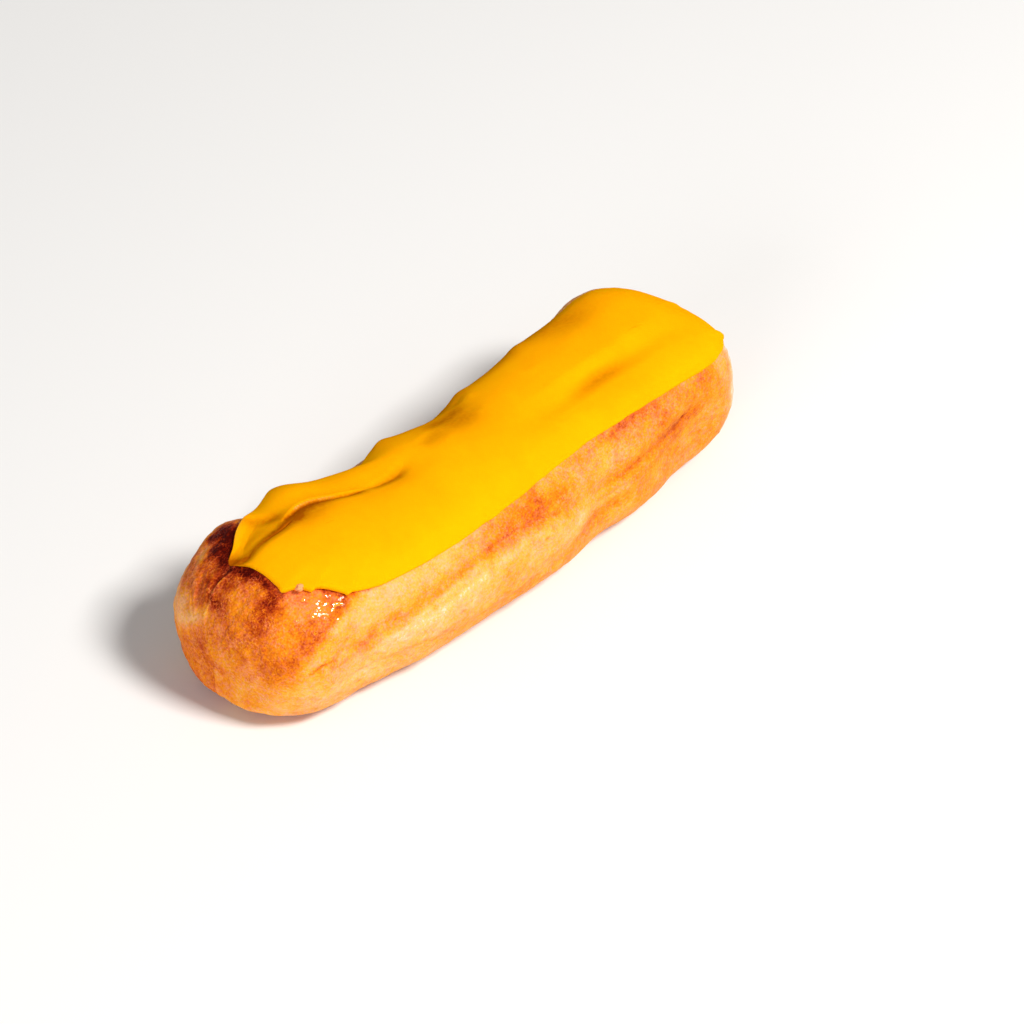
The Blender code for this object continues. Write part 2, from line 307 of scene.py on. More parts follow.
def catmull_rom(four, share):
    """The cubic from the second of four points to the third, heading along the line between their neighbours."""
    before, here, after, beyond = four
    return 0.5 * (
        2.0 * here
        + (after - before) * share
        + (2.0 * before - 5.0 * here + 4.0 * after - beyond) * share**2
        + (3.0 * here - before - 3.0 * after + beyond) * share**3
    )


def beside_line(points, places, lift=0.0, count=72):
    """For each point: how far it lies to the right of a line on the skin (left is negative), its share of the
    line's length, and the way to the right. The nearest of the line's own points gives the direction."""
    line, outward = skin(*smooth_line(places, count))
    line = line + outward * lift
    right = unit(np.cross(unit(np.gradient(line, axis=0)), outward))
    flat = points.reshape(-1, 3)
    nearest = np.argmin((line**2).sum(axis=1) - 2.0 * flat @ line.T, axis=1)
    offset = flat - line[nearest]
    across = (offset * right[nearest]).sum(axis=1)
    away = np.linalg.norm(offset - outward[nearest] * (offset * outward[nearest]).sum(axis=1)[:, None], axis=1)
    across = np.where(away > 2.0 * np.abs(across) + 0.5, away, across)
    shape = points.shape[:-1]
    return across.reshape(shape), (nearest / (count - 1)).reshape(shape), right[nearest].reshape(*shape, 3)


def ends_fade(share, part=0.2):
    """0 at both ends of a line and 1 along its middle."""
    return smooth_step(share / part) * smooth_step((1.0 - share) / part)


def strokes(points, lines, lift=0.0):
    """A sum of lines drawn with a brush: s (1 - t^q)^2, t being the distance across over the brush's width.

    A line is (places, strength s, widths to its left and right at its start and end, roundness q, fade).
    A roundness of 1 gives a sharp fold and 2 a soft trough."""
    total = np.zeros(points.shape[:-1])
    for places, strength, left, right, roundness, part in lines:
        across, share, _ = beside_line(points, places, lift)
        starts, ends = (np.where(across < 0.0, left[end], right[end]) for end in (0, 1))
        away = np.clip(np.abs(across) / (starts + (ends - starts) * share), 0.0, 1.0)
        total += strength * (1.0 - away**roundness) ** 2 * ends_fade(share, part)
    return total


print("noise check:", soft_noise(smooth_points[::80, ::60], 5.0, seed=1).round(2).ravel()[:6].tolist())

# %% [markdown]
# ## The crust's relief
# Choux skin is a thin shell that dries, wrinkles and pits while the inside steams. Small lumps, strings drawn
# out along the ridges, grain and pits could all be a bump in the material, but then the outline and the
# mesh would stay smooth. So all that is wider than about a millimetre is moved in the mesh, and the
# material adds only what is finer.

# %% Lumps, strings and grain
LUMPS = (0.42, 8.5)  # height and size
KNOBS = (0.17, 3.1)
GRAIN = (0.075, 1.15)
STRINGS = (0.17, 1.5, 9.0)  # height, size across, and how many times longer
WRINKLED = [(-66.0, -42.0, 4.5, 5.5, 2.4), (-60.0, -60.0, 6.0, 7.0, 1.4), (66.0, 70.0, 6.0, 8.0, 0.8)]
FOOT_FADE = 3.0  # the foot is flat, and relief grows to its full height over this much above it
foot_height = own_low[2]


def crust_relief(x, angle, points):
    """Noise of four sizes. Strings are noise on the shortened bun, and stronger on the wrinkled patches."""
    tilted = points @ TILT
    lumps = LUMPS[0] * soft_noise(tilted, LUMPS[1], seed=11)
    knobs = KNOBS[0] * soft_noise(tilted, KNOBS[1], seed=12)
    grain = GRAIN[0] * soft_noise(tilted, GRAIN[1], seed=13)
    wrinkled = 1.0 + sum(
        more * laid_patch(points, at_x, at_angle, along, around) for at_x, at_angle, along, around, more in WRINKLED
    )
    strings = STRINGS[0] * wrinkled * soft_noise(lengthwise(x, angle, STRINGS[2]), STRINGS[1], seed=14)
    return (lumps + knobs + grain + strings * np.sqrt(end_share(x))) * clear_of_foot(points)


def clear_of_foot(points):
    """0 on the flat foot, which has to stay flat, rising to 1 a few millimetres above it."""
    return smooth_step((points[..., 2] - foot_height) / FOOT_FADE)


relief = crust_relief(ring_x, ring_angle, smooth_points)
print("relief from", relief.min().round(2), "to", relief.max().round(2), "mm")

# %% Pits, cracks and seams
PIT_COUNT = 150
PIT_RADIUS = (0.35, 0.75)
PIT_DEPTH = 0.42  # of its radius
SEAMS = [  # places on the line, depth (a ridge is negative), widths left and right, roundness, fade
    ([(-61.0, -8.0), (-63.5, -11.5), (-66.0, -14.5), (-68.3, -17.0), (-69.6, -23.0)],
     -0.40, (0.8, 0.8), (0.7, 0.7), 1.6, 0.3),
    ([(-61.5, -11.5), (-64.5, -16.5), (-67.0, -20.5), (-69.0, -27.0)], 0.12, (1.2, 1.2), (2.4, 2.4), 1.4, 0.3),
    ([(-2.9, 74.0), (-2.4, 77.5)], 0.60, (1.0, 1.0), (1.0, 1.0), 1.6, 0.3),
    ([(-60.3, 73.0), (-61.5, 75.0), (-62.5, 78.5)], 0.45, (0.7, 0.7), (0.7, 0.7), 1.2, 0.3),
    ([(-57.5, 75.5), (-59.0, 74.5)], 0.40, (0.6, 0.6), (0.6, 0.6), 1.2, 0.3),
    ([(-13.0, 62.5), (-4.0, 61.5), (3.0, 66.0), (9.0, 70.0)], 0.40, (0.6, 0.6), (0.8, 0.8), 1.0, 0.3),
    ([(-67.5, -38.0), (-66.0, -40.0), (-64.0, -41.0)], 0.50, (0.6, 0.6), (0.6, 0.6), 1.0, 0.3),
    ([(-68.6, -33.0), (-67.4, -33.0), (-65.5, -32.0)], 0.55, (0.6, 0.6), (0.6, 0.6), 1.0, 0.3),
    ([(-68.9, -46.0), (-68.0, -48.0), (-66.5, -49.0)], 0.50, (0.6, 0.6), (0.6, 0.6), 1.0, 0.3),
    ([(-69.3, -38.0), (-68.3, -38.0), (-66.8, -37.0)], 0.40, (0.5, 0.5), (0.5, 0.5), 1.0, 0.3),
]


def pit_depth(points, seed):
    """Small round pits at random places on the sides and ends: each is a bell, and its depth follows its radius."""
    random = np.random.default_rng(seed)
    depth = np.zeros(points.shape[:-1])
    reach = 3.0 * PIT_RADIUS[1]
    for _ in range(PIT_COUNT):
        x = random.uniform(-HALF_LENGTH + 0.5, HALF_LENGTH - 1.0)
        angle = random.choice((-1.0, 1.0)) * random.uniform(30.0 if abs(x) > 60.0 else 50.0, 115.0)
        radius = random.uniform(*PIT_RADIUS)
        centre = skin(np.float64(x), np.float64(angle))[0]
        near = np.nonzero(np.abs(points - centre).max(axis=-1) < reach)
        squares = ((points[near] - centre) ** 2).sum(axis=-1)
        depth[near] = np.maximum(depth[near], PIT_DEPTH * radius * np.exp(-squares / radius**2))
    return depth


seams = strokes(smooth_points, SEAMS)
pits = pit_depth(smooth_points, seed=21)
hollows = (seams + pits) * clear_of_foot(smooth_points)
crust_points = smooth_points + way_out * (relief - hollows)[..., None]
print("seams to", seams.max().round(2), "mm deep,", PIT_COUNT, "pits to", pits.max().round(2), "mm")

# %% [markdown]
# ## Putting surfaces into meshes
# Every piece is a block of rows that close on themselves, so one helper can number the faces of them all. The
# faces are listed so that they point outwards. Fields such as browning go in as named attributes, which a
# material can read.

# %% Mesh helpers
def band_faces(rows, columns, start=0):
    """Four-sided faces of rows that close on themselves, joined one to the next."""
    here = start + np.arange(rows - 1)[:, None] * columns + np.arange(columns)[None, :]
    there = start + np.arange(rows - 1)[:, None] * columns + (np.arange(columns)[None, :] + 1) % columns
    return np.stack([here, there, there + columns, here + columns], axis=-1).reshape(-1, 4)


def cap_faces(first, columns, centre):
    """Triangles from one closed row to a point."""
    here = first + np.arange(columns)
    return np.stack([here, first + (np.arange(columns) + 1) % columns, np.full(columns, centre)], axis=-1)


def new_piece(name, points, faces, material):
    """An object at the origin whose mesh holds the points, given in millimetres, and the faces."""
    mesh = bpy.data.meshes.new(name)
    mesh.from_pydata((points * METRES).tolist(), [], faces)
    mesh.shade_smooth()
    mesh.materials.append(material)
    piece = bpy.data.objects.new(name, mesh)
    bpy.context.scene.collection.objects.link(piece)
    return piece


def write_field(piece, name, values):
    """Store one number for each vertex."""
    field = piece.data.attributes.new(name, "FLOAT", "POINT")
    field.data.foreach_set("value", np.asarray(values, dtype=np.float32).ravel())


def signed_volume(piece):
    """The volume inside a closed mesh in cubic centimetres: positive when its faces point outwards."""
    piece.data.calc_loop_triangles()
    corners = np.zeros(len(piece.data.loop_triangles) * 3, dtype=np.int32)
    piece.data.loop_triangles.foreach_get("vertices", corners)
    places = np.zeros(len(piece.data.vertices) * 3)
    piece.data.vertices.foreach_get("co", places)
    a, b, c = places.reshape(-1, 3)[corners.reshape(-1, 3)].transpose(1, 0, 2) / METRES
    return np.einsum("ij,ij->i", a, np.cross(b, c)).sum() / 6000.0, len(a)


# %% The bun's mesh
crust_material = bpy.data.materials.new("baked_crust_finish")
ring_block = crust_points[1:-1] - origin
tips = crust_points[[0, -1], 0] - origin
body_vertices = np.vstack([ring_block.reshape(-1, 3), tips])
last_ring = (BODY_RINGS - 1) * RING_POINTS
body_faces = (
    band_faces(BODY_RINGS, RING_POINTS).tolist()
    + cap_faces(0, RING_POINTS, BODY_RINGS * RING_POINTS)[:, ::-1].tolist()
    + cap_faces(last_ring, RING_POINTS, BODY_RINGS * RING_POINTS + 1).tolist()
)
choux = new_piece("choux_crust", body_vertices, body_faces, crust_material)
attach(choux, "root")
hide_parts("choux_body")
print("bun: volume and triangles", signed_volume(choux))

# %% [markdown]
# ## How the crust is browned and shaded
# Choux browns unevenly: dark where it stood up to the heat, and pale in the folds and low on the sides. A
# painted picture would do it, but then nothing could be changed later. Here one field, from 0 (pale) to 1
# (nearly burnt), is a sum of soft patches and bands laid on the skin, and the material turns it into colour.
# Some of its patches and lines are painted shade under the icing's edge, in hollows and low over the foot,
# and a few are a painted highlight at the blunt end's rim.

# %% Patches and bands of browning
SIDE_TOAST = 0.22
END_TOAST = 0.61
END_LIMIT = [  # the brown round end stops here: angle, x
    (-180.0, -66.0), (-64.0, -66.0), (-54.0, -60.0), (-44.0, -50.0), (40.0, -49.0), (49.0, -52.0),
    (54.0, -57.0), (60.0, -60.5), (68.0, -64.0), (78.0, -66.5), (90.0, -68.5), (110.0, -70.0), (180.0, -70.0),
]
LIMIT_FADE = 6.0
FOOT_TOAST = (0.40, 3.0)  # added on the underside, which lay on the tray, and the height in which it fades
TOAST_NOISE = (0.06, 6.0)
TOAST_WARP = ((1.2, 4.5), (0.55, 1.6))  # patches are laid on places pushed about by noise: how far, and its size
TOAST_AND_SHADE_PATCHES = [  # x, angle, along, around, how much
    # the round end, from the far side over the top to the near side
    # the first three below, and those at -5 and 9 degrees, lie under the icing's edge: browning with painted shade
    # under the edge
    (-56.8, -28.5, 3.6, 3.4, 0.76),
    (-58.5, -22.0, 2.0, 1.8, 0.24),
    (-53.8, -41.5, 2.6, 2.4, 0.34),
    (-58.9, -41.0, 2.4, 2.2, -0.44),
    (-66.3, -46.0, 2.4, 3.0, -0.16),
    (-60.9, -5.0, 1.5, 3.0, 0.46),
    (-60.5, 9.0, 1.3, 4.2, 0.30),
    (-64.5, 26.0, 3.4, 4.0, 0.11),
    (-65.0, -18.5, 1.7, 1.5, 0.16),
    (-62.5, -14.0, 1.6, 2.0, 0.16),
    (-64.3, -6.0, 1.1, 1.8, 0.12),
    (-65.8, -31.0, 1.8, 2.4, 0.14),
    (-67.8, -8.0, 2.2, 2.8, 0.30),
    (-69.3, -40.0, 2.0, 6.0, -0.34),
    (-67.8, -58.0, 3.0, 4.0, -0.36),
    (-62.6, 20.0, 2.8, 2.0, 0.18),
    (-66.8, 27.0, 2.4, 3.2, 0.15),
    (-61.3, 38.0, 3.2, 2.8, -0.14),
    (-66.0, 8.0, 2.4, 3.0, -0.05),
    (-64.0, 54.0, 3.0, 3.0, -0.06),
    (-64.6, 44.0, 2.6, 2.6, -0.10),
    (-69.6, 72.0, 1.8, 6.0, -0.16),
    (-70.2, 100.0, 2.2, 6.0, -0.20),
    (-63.2, 25.0, 1.8, 1.8, 0.12),
    (-70.6, 30.0, 2.0, 4.0, -0.22),
    (-56.0, 43.0, 3.6, 2.4, -0.10),
    # the near side, from the round end to the blunt one
    (-50.5, 44.5, 3.6, 1.2, 0.30),
    (-37.0, 49.0, 9.0, 2.8, -0.08),
    (-58.0, 65.0, 4.0, 4.0, 0.10),
    (-58.0, 81.0, 5.0, 3.0, 0.12),
    (-49.0, 78.5, 4.0, 2.2, 0.20),
    (-41.0, 70.0, 7.0, 1.9, 0.14),
    (-28.0, 64.5, 8.0, 1.5, 0.12),
    (-29.0, 78.0, 8.0, 3.4, -0.11),
    (-42.0, 83.5, 5.0, 1.6, -0.14),
    (-52.0, 97.0, 10.0, 4.0, -0.10),
    (-14.0, 53.0, 6.5, 3.6, 0.20),
    (-4.0, 51.5, 6.8, 4.4, 0.30),
    (2.0, 58.4, 6.4, 2.6, 0.24),
    (-15.0, 62.0, 7.0, 1.2, 0.13),
    (12.0, 52.0, 7.0, 3.6, 0.06),
    (25.0, 43.0, 13.0, 2.5, 0.33),
    (40.0, 58.0, 17.0, 8.0, 0.23),
    (25.0, 74.0, 12.0, 4.0, 0.12),
    (42.0, 73.0, 10.0, 4.0, 0.06),
    (52.5, 51.0, 4.6, 3.2, 0.18),
    (56.0, 66.0, 3.0, 2.4, 0.14),
    (46.0, 62.0, 4.5, 1.6, -0.09),
    (45.0, 76.0, 7.0, 2.8, 0.10),
    (45.0, 88.0, 5.0, 3.0, -0.08),
    (20.0, 90.0, 8.0, 2.6, 0.10),
    (7.0, 80.0, 5.0, 3.0, -0.10),
    (62.0, 84.0, 5.0, 5.0, 0.12),
    # paler at the blunt end's near rim: a painted highlight of glare, with the pink patch below
    (66.5, 62.0, 2.4, 13.0, -0.66),
    # these four darken the low side over the foot: browning, and painted shade where the body nears the floor
    (-7.0, 101.0, 6.0, 2.6, 0.20),
    (10.0, 96.0, 9.0, 3.0, 0.20),
    (37.0, 104.0, 14.0, 5.0, 0.14),
    (56.0, 103.0, 8.0, 4.0, 0.20),
    # the far side
    (-30.0, -60.0, 16.0, 6.0, 0.12),
    (20.0, -56.0, 20.0, 6.0, 0.22),
    (60.0, -30.0, 6.0, 8.0, 0.18),
]
TOAST_AND_SHADOW_LINES = [  # orange furrows, pale ridges, and painted shadow under the icing's lifted edge, as SEAMS
    ([(-22.0, 61.0), (-14.0, 59.5), (-6.0, 60.0)], 0.12, (0.5, 0.5), (0.4, 0.4), 1.5, 0.3),
    ([(-65.0, 80.5), (-62.5, 77.0), (-60.5, 74.5), (-57.0, 75.0)], 0.26, (0.6, 0.5), (0.6, 0.5), 1.5, 0.3),
    ([(-50.0, 84.0), (-40.0, 77.0), (-28.0, 69.0), (-20.0, 66.5)], -0.16, (0.8, 0.8), (0.9, 0.9), 1.5, 0.3),
    ([(-61.0, -8.0), (-63.5, -11.5), (-66.0, -14.5), (-68.3, -17.0), (-69.6, -23.0)],
     -0.30, (0.35, 0.35), (0.35, 0.35), 1.5, 0.2),
    # these two are painted shadow under the icing's lifted edge
    ([(-55.2, 29.0), (-52.8, 33.6), (-50.8, 38.4)], 0.22, (0.7, 0.7), (0.55, 0.5), 2.0, 0.25),
    ([(-48.8, 40.4), (-46.5, 42.6), (-43.0, 44.8)], 0.30, (0.5, 0.5), (0.45, 0.4), 2.0, 0.3),
    ([(-60.0, 67.0), (-52.0, 73.0), (-44.0, 71.5), (-36.0, 69.0), (-30.0, 66.5), (-22.0, 63.5), (-14.0, 61.5)],
     0.06, (1.0, 0.8), (1.2, 1.0), 2.0, 0.2),
    ([(2.0, 62.0), (10.0, 68.5), (20.0, 71.0), (30.0, 71.0), (40.0, 70.0), (52.0, 64.0)],
     0.07, (0.9, 0.9), (1.2, 1.2), 2.0, 0.2),
    ([(-46.0, 81.0), (-38.0, 79.0), (-28.0, 75.5), (-18.0, 71.5), (-8.0, 69.5), (0.0, 71.0)],
     -0.12, (1.2, 1.0), (1.4, 1.2), 2.0, 0.25),
    ([(5.0, 76.0), (12.0, 80.0), (20.0, 82.5), (28.0, 81.5)], -0.12, (1.2, 1.2), (1.4, 1.4), 2.0, 0.3),
]
# painted shade in furrows, seams and pits, in proportion to their depth
FURROW_PAINTED_SHADE = 0.05
SEAM_PAINTED_SHADE = 0.25
PIT_PAINTED_SHADE = 0.45


def pushed_about(points):
    """The places moved by noise in three directions, so that what is laid on them gets uneven edges."""
    tilted = points @ TILT
    moved = points.copy()
    for reach, size in TOAST_WARP:
        for axis in range(3):
            moved[..., axis] += reach * soft_noise(tilted + 31.0 * axis, size, seed=32 + axis)
    return moved


def toast_and_shade_field(x, angle, points):
    """Browning with painted light: the side's or the round end's, plus the underside, noise, patches and lines,
    some of them painted shade or highlight, and painted shade in furrows, seams and pits by their depth."""
    moved = pushed_about(points)
    limit_angle, limit_x = np.array(END_LIMIT).T
    moved_x = x + (moved - points)[..., 0]
    at_end = smooth_step((np.interp(angle, limit_angle, limit_x) - moved_x) / LIMIT_FADE + 0.5)
    toast = SIDE_TOAST + (END_TOAST - SIDE_TOAST) * at_end
    toast += FOOT_TOAST[0] * smooth_step(1.0 - (points[..., 2] - foot_height) / FOOT_TOAST[1])
    toast += TOAST_NOISE[0] * soft_noise(points @ TILT, TOAST_NOISE[1], seed=31)
    toast += FURROW_PAINTED_SHADE * furrow_depth(x, angle) + SEAM_PAINTED_SHADE * np.clip(seams, 0.0, 0.6) + PIT_PAINTED_SHADE * pits
    toast += strokes(0.7 * points + 0.3 * moved, TOAST_AND_SHADOW_LINES)
    for at_x, at_angle, along, around, more in TOAST_AND_SHADE_PATCHES:
        toast += more * laid_patch(moved, at_x, at_angle, along, around)
    return np.clip(toast, 0.0, 1.0)


BLUSH_PATCHES = [  # pinkish places, and golden ones where it is negative
    (-60.0, 33.0, 5.0, 5.0, 0.50),
    (-66.0, 42.0, 3.0, 3.0, 0.35),
    (-69.0, 0.0, 2.5, 4.0, 0.25),
    (-63.0, -40.0, 4.0, 4.0, 0.25),
    (-16.0, 53.0, 7.0, 3.0, 0.30),
    (-36.0, 80.0, 12.0, 3.0, 0.25),
    (-6.0, 74.0, 8.0, 4.0, 0.20),
    (30.0, 50.0, 12.0, 3.0, 0.20),
    # pinker at the blunt end's near rim: part of the painted highlight of glare there
    (66.0, 66.0, 3.5, 12.0, 0.90),
    (-66.0, -60.0, 6.0, 6.0, 0.45),
    (-64.0, 53.0, 6.0, 5.0, -0.60),
    (-66.0, 85.0, 5.0, 4.0, -0.20),
    (-36.0, 67.0, 9.0, 2.0, -0.25),
    (-1.0, 56.0, 8.0, 5.0, -0.45),
    (36.0, 88.0, 14.0, 5.0, -0.20),
    (22.0, 92.0, 10.0, 3.0, -0.25),
    (-46.0, 51.0, 8.0, 3.0, 0.30),
    (34.0, 70.0, 16.0, 3.0, -0.30),
    (45.0, 67.0, 8.0, 3.0, -0.30),
    (-52.0, 45.0, 4.0, 1.6, -0.40),
    (-66.0, 66.0, 3.0, 3.5, -0.35),
    (-65.0, 24.0, 4.5, 5.0, -0.35),
]
BLUSH = 0.26  # everywhere
WET_PATCHES = [(-57.5, 30.0, 3.2, 3.0, 0.9), (-55.5, 41.0, 3.2, 2.4, 0.9)]


def patch_field(points, patches, base=0.0):
    """A base and a sum of laid patches, kept between 0 and 1."""
    return np.clip(base + sum(more * laid_patch(points, *place) for *place, more in patches), 0.0, 1.0)


def on_body(field):
    """The field's values in the order of the bun's vertices: rings, then the two tips."""
    return np.concatenate([field[1:-1].ravel(), field[[0, -1], 0]])


toast = toast_and_shade_field(ring_x, ring_angle, smooth_points)
write_field(choux, "toast", on_body(toast))
write_field(choux, "blush", on_body(patch_field(pushed_about(smooth_points), BLUSH_PATCHES, BLUSH)))
write_field(choux, "wet", on_body(patch_field(smooth_points, WET_PATCHES)))
print("toast from", toast.min().round(2), "to", toast.max().round(2))

# %% [markdown]
# ## The icing
# The top was dipped in warm fondant, which ran to a thick smooth sheet with a rounded edge, and wrinkled
# where it slid over the deep furrow at the round end. A cloth or fluid simulation would not give that same
# wrinkle twice. So the sheet is worked out: rings that shrink from a drawn border to a line along the middle,
# lifted off the skin by a thickness that is itself a function of place.

# %% The border of the icing
ICING_BORDER = [  # x, angle, from the middle of the round end's edge round by the -Y side
    (-59.8, -3.0), (-59.7, 7.0), (-60.0, 15.0), (-59.8, 20.2), (-58.4, 22.0), (-57.2, 24.4), (-55.9, 27.9),
    (-54.4, 28.2), (-52.3, 33.2), (-50.3, 38.6), (-49.2, 39.3), (-47.5, 41.3), (-44.0, 43.9), (-40.0, 44.8),
    (-34.2, 45.8), (-24.0, 46.0), (-8.0, 43.5), (6.0, 40.0), (20.0, 38.5), (34.0, 40.5), (47.0, 43.5),
    (57.0, 46.0), (62.5, 43.5), (65.0, 38.0), (65.2, 30.0), (63.5, 12.0), (61.5, -8.0), (58.5, -25.0),
    (53.0, -36.0), (45.0, -41.0), (36.0, -44.0), (22.0, -46.0), (6.0, -47.0), (-8.0, -42.0), (-15.0, -42.0),
    (-22.0, -31.5), (-28.0, -36.0), (-36.0, -46.0), (-44.0, -43.0), (-49.0, -36.5), (-53.0, -29.5),
    (-57.0, -24.0), (-60.0, -20.5), (-61.2, -16.0), (-60.5, -9.5),
]
ICING_SPINE = ((-42.0, 2.0), (46.0, 2.0))
NIBS = [  # x, angle, how far it stands out, half width
    (-60.0, 19.0, 0.4, 0.7),
    (-55.7, 27.8, 0.4, 0.4),
    (-49.8, 39.0, 0.5, 0.5),
    (65.4, 36.0, 2.8, 0.9),
    (60.0, 44.0, -0.5, 1.2),
    (62.5, -2.0, 0.8, 1.0),
    (49.0, -34.0, -0.9, 1.6),
]
EDGE_WOBBLE = (0.18, 3.2)
ICING_COLUMNS = 600


def closed_line(places, count):
    """Points evenly spaced on a smooth closed curve through (x, angle) places, in millimetres of skin."""
    corners = np.array(places) * (1.0, SIDE_SCALE)
    share = np.linspace(0.0, 1.0, 40, endpoint=False)[:, None]
    pieces = [catmull_rom(np.take(corners, range(n - 1, n + 3), axis=0, mode="wrap"), share) for n in range(len(corners))]
    curve = np.vstack([*pieces, corners[0]])
    travelled = np.concatenate([[0.0], np.cumsum(np.hypot(*np.diff(curve, axis=0).T))])
    along = np.linspace(0.0, travelled[-1], count, endpoint=False)
    return np.stack([np.interp(along, travelled, curve[:, axis]) for axis in (0, 1)], axis=-1)


column = np.arange(ICING_COLUMNS)
border = closed_line(ICING_BORDER, ICING_COLUMNS)
spine_start, spine_end = (np.array(place) * (1.0, SIDE_SCALE) for place in ICING_SPINE)
spine_share = np.minimum(column, ICING_COLUMNS - column) / (ICING_COLUMNS // 2)
spine = spine_start + (spine_end - spine_start) * spine_share[:, None]
border_out = unit(border - spine)
stand_out = EDGE_WOBBLE[0] * soft_noise(np.column_stack([border, 0.0 * column]), EDGE_WOBBLE[1], seed=41)
for nib_x, nib_angle, reach, half_breadth in NIBS:
    squares = ((border - (nib_x, nib_angle * SIDE_SCALE)) ** 2).sum(axis=1)
    stand_out += reach * np.exp(-squares / half_breadth**2)
border = border + border_out * stand_out[:, None]
print("border:", np.hypot(*np.diff(border, axis=0).T).sum().round(1), "mm round")

# %% Thickness of the icing
SHEET = 2.0  # full thickness above the skin
THINNEST = 0.12
EDGE_PARTS = [  # x, angle, half length of border, how thick the edge is over the sheet
    (-54.0, -28.0, 6.0, 0.36),
    (-41.0, -45.0, 9.0, 0.80),
    (-61.0, -15.0, 3.0, 0.06),
    (-60.0, 4.0, 6.0, 0.55),
    (-54.0, 30.0, 8.0, 0.75),
]
PLAIN_EDGE = 0.42
EDGE_SLOPE = 4.0  # the sheet thins towards its edge over this width
WAVES = (0.14, 9.0)
SWOLLEN = [  # places where the fondant gathered or ran thin: x, angle, along, around, height
    (-38.0, -27.0, 7.0, 3.2, 0.40),
    (-48.0, 0.0, 8.0, 3.4, 0.35),
    (-31.0, -17.0, 6.0, 2.6, 0.25),
    (-18.0, -16.0, 5.0, 3.0, 0.25),
    (-24.0, 3.0, 8.0, 3.0, 0.25),
    (-3.0, -22.0, 6.0, 3.2, -0.55),
    (6.0, -30.0, 8.0, 4.0, -0.20),
    (0.0, -10.0, 5.0, 3.0, -0.25),
    (30.0, 4.0, 14.0, 3.4, 0.22),
    (48.0, 3.0, 6.0, 3.4, 0.22),
    (40.0, -24.0, 9.0, 3.0, -0.25),
    (-14.0, -39.0, 3.2, 3.4, 1.0),
    (9.0, -40.0, 2.6, 3.6, 0.60),
    (8.0, -25.0, 1.8, 1.8, 0.28),
    (5.5, -31.0, 2.2, 1.6, -0.35),
    (4.0, -9.0, 1.5, 1.2, 0.12),
    (21.5, -12.0, 1.6, 1.2, 0.14),
    (27.0, -36.0, 2.2, 2.6, 0.40),
]
CREASES = [  # places on the line, depth, widths left and right at start and end, roundness, fade
    ([(-48.0, -13.5), (-45.5, -16.2), (-42.5, -18.8), (-39.5, -18.0), (-36.0, -15.2), (-33.0, -12.2),
      (-30.5, -9.0), (-27.5, -5.0)], 1.00, (0.5, 0.4), (5.2, 2.2), 1.15, 0.25),
    ([(-56.5, -7.6), (-52.0, -8.0), (-49.0, -8.8), (-46.5, -10.2), (-45.0, -11.5)],
     0.30, (0.5, 0.5), (0.5, 0.6), 1.0, 0.3),
    ([(-51.0, -33.0), (-48.5, -28.0), (-46.5, -24.0), (-44.5, -20.0)], 0.50, (1.8, 1.4), (2.8, 2.8), 1.7, 0.35),
    ([(-29.5, -9.5), (-27.0, -6.5), (-25.0, -5.4), (-23.0, -4.8), (-21.0, -4.9), (-17.0, -7.5)],
     0.62, (1.2, 2.6), (2.0, 2.6), 1.4, 0.35),
    ([(-13.0, -7.0), (-8.0, -10.0), (-4.0, -13.0)], 0.30, (3.0, 3.0), (3.0, 3.0), 2.0, 0.4),
    ([(8.0, 9.0), (17.0, 10.0), (23.0, 10.0), (30.0, 10.3), (37.0, 11.0), (45.0, 11.5), (54.0, 12.5)],
     0.80, (4.2, 4.2), (3.2, 3.6), 1.9, 0.42),
]
LEDGE = [(-62.0, -9.5), (-59.0, -9.8), (-56.0, -9.8), (-53.0, -9.8), (-50.0, -10.6), (-47.0, -13.4), (-43.5, -18.0)]
LEDGE_DROP = 1.1  # left of the ledge the sheet lies this much lower
LEDGE_WALL = (1.0, 2.8)  # the drop starts this far right of the ledge and ends this far left


def ledge_drop(points):
    """How much lower the sheet lies left of the ledge: the drop is full on the left, falls evenly to nothing
    over the wall on the right, and fades out towards the ledge's end."""
    across, share, _ = beside_line(points, LEDGE, lift=SHEET / 2)
    wall = np.clip((LEDGE_WALL[1] - across) / (LEDGE_WALL[0] + LEDGE_WALL[1]), 0.0, 1.0)
    near = smooth_step((9.0 - np.abs(across)) / 3.0)
    return LEDGE_DROP * (0.6 * wall + 0.4 * smooth_step(wall)) * near * smooth_step((1.0 - share) / 0.4)


def sheet_thickness(points, edge_distance, edge_share):
    """Thickness above the skin: thinner near the edge, with waves, swollen places, creases and a ledge."""
    thickness = SHEET * (1.0 - (1.0 - edge_share) * np.exp(-((edge_distance / EDGE_SLOPE) ** 2)))
    inner = smooth_step(edge_distance / 3.0)
    thickness += inner * WAVES[0] * soft_noise(points @ TILT, WAVES[1], seed=42)
    for at_x, at_angle, along, around, more in SWOLLEN:
        thickness += inner * more * laid_patch(points, at_x, at_angle, along, around)
    thickness -= smooth_step(0.3 + edge_distance / 2.0) * strokes(points, CREASES, lift=SHEET)
    thickness -= smooth_step(0.1 + edge_distance / 2.5) * ledge_drop(points)
    return np.maximum(thickness, THINNEST)


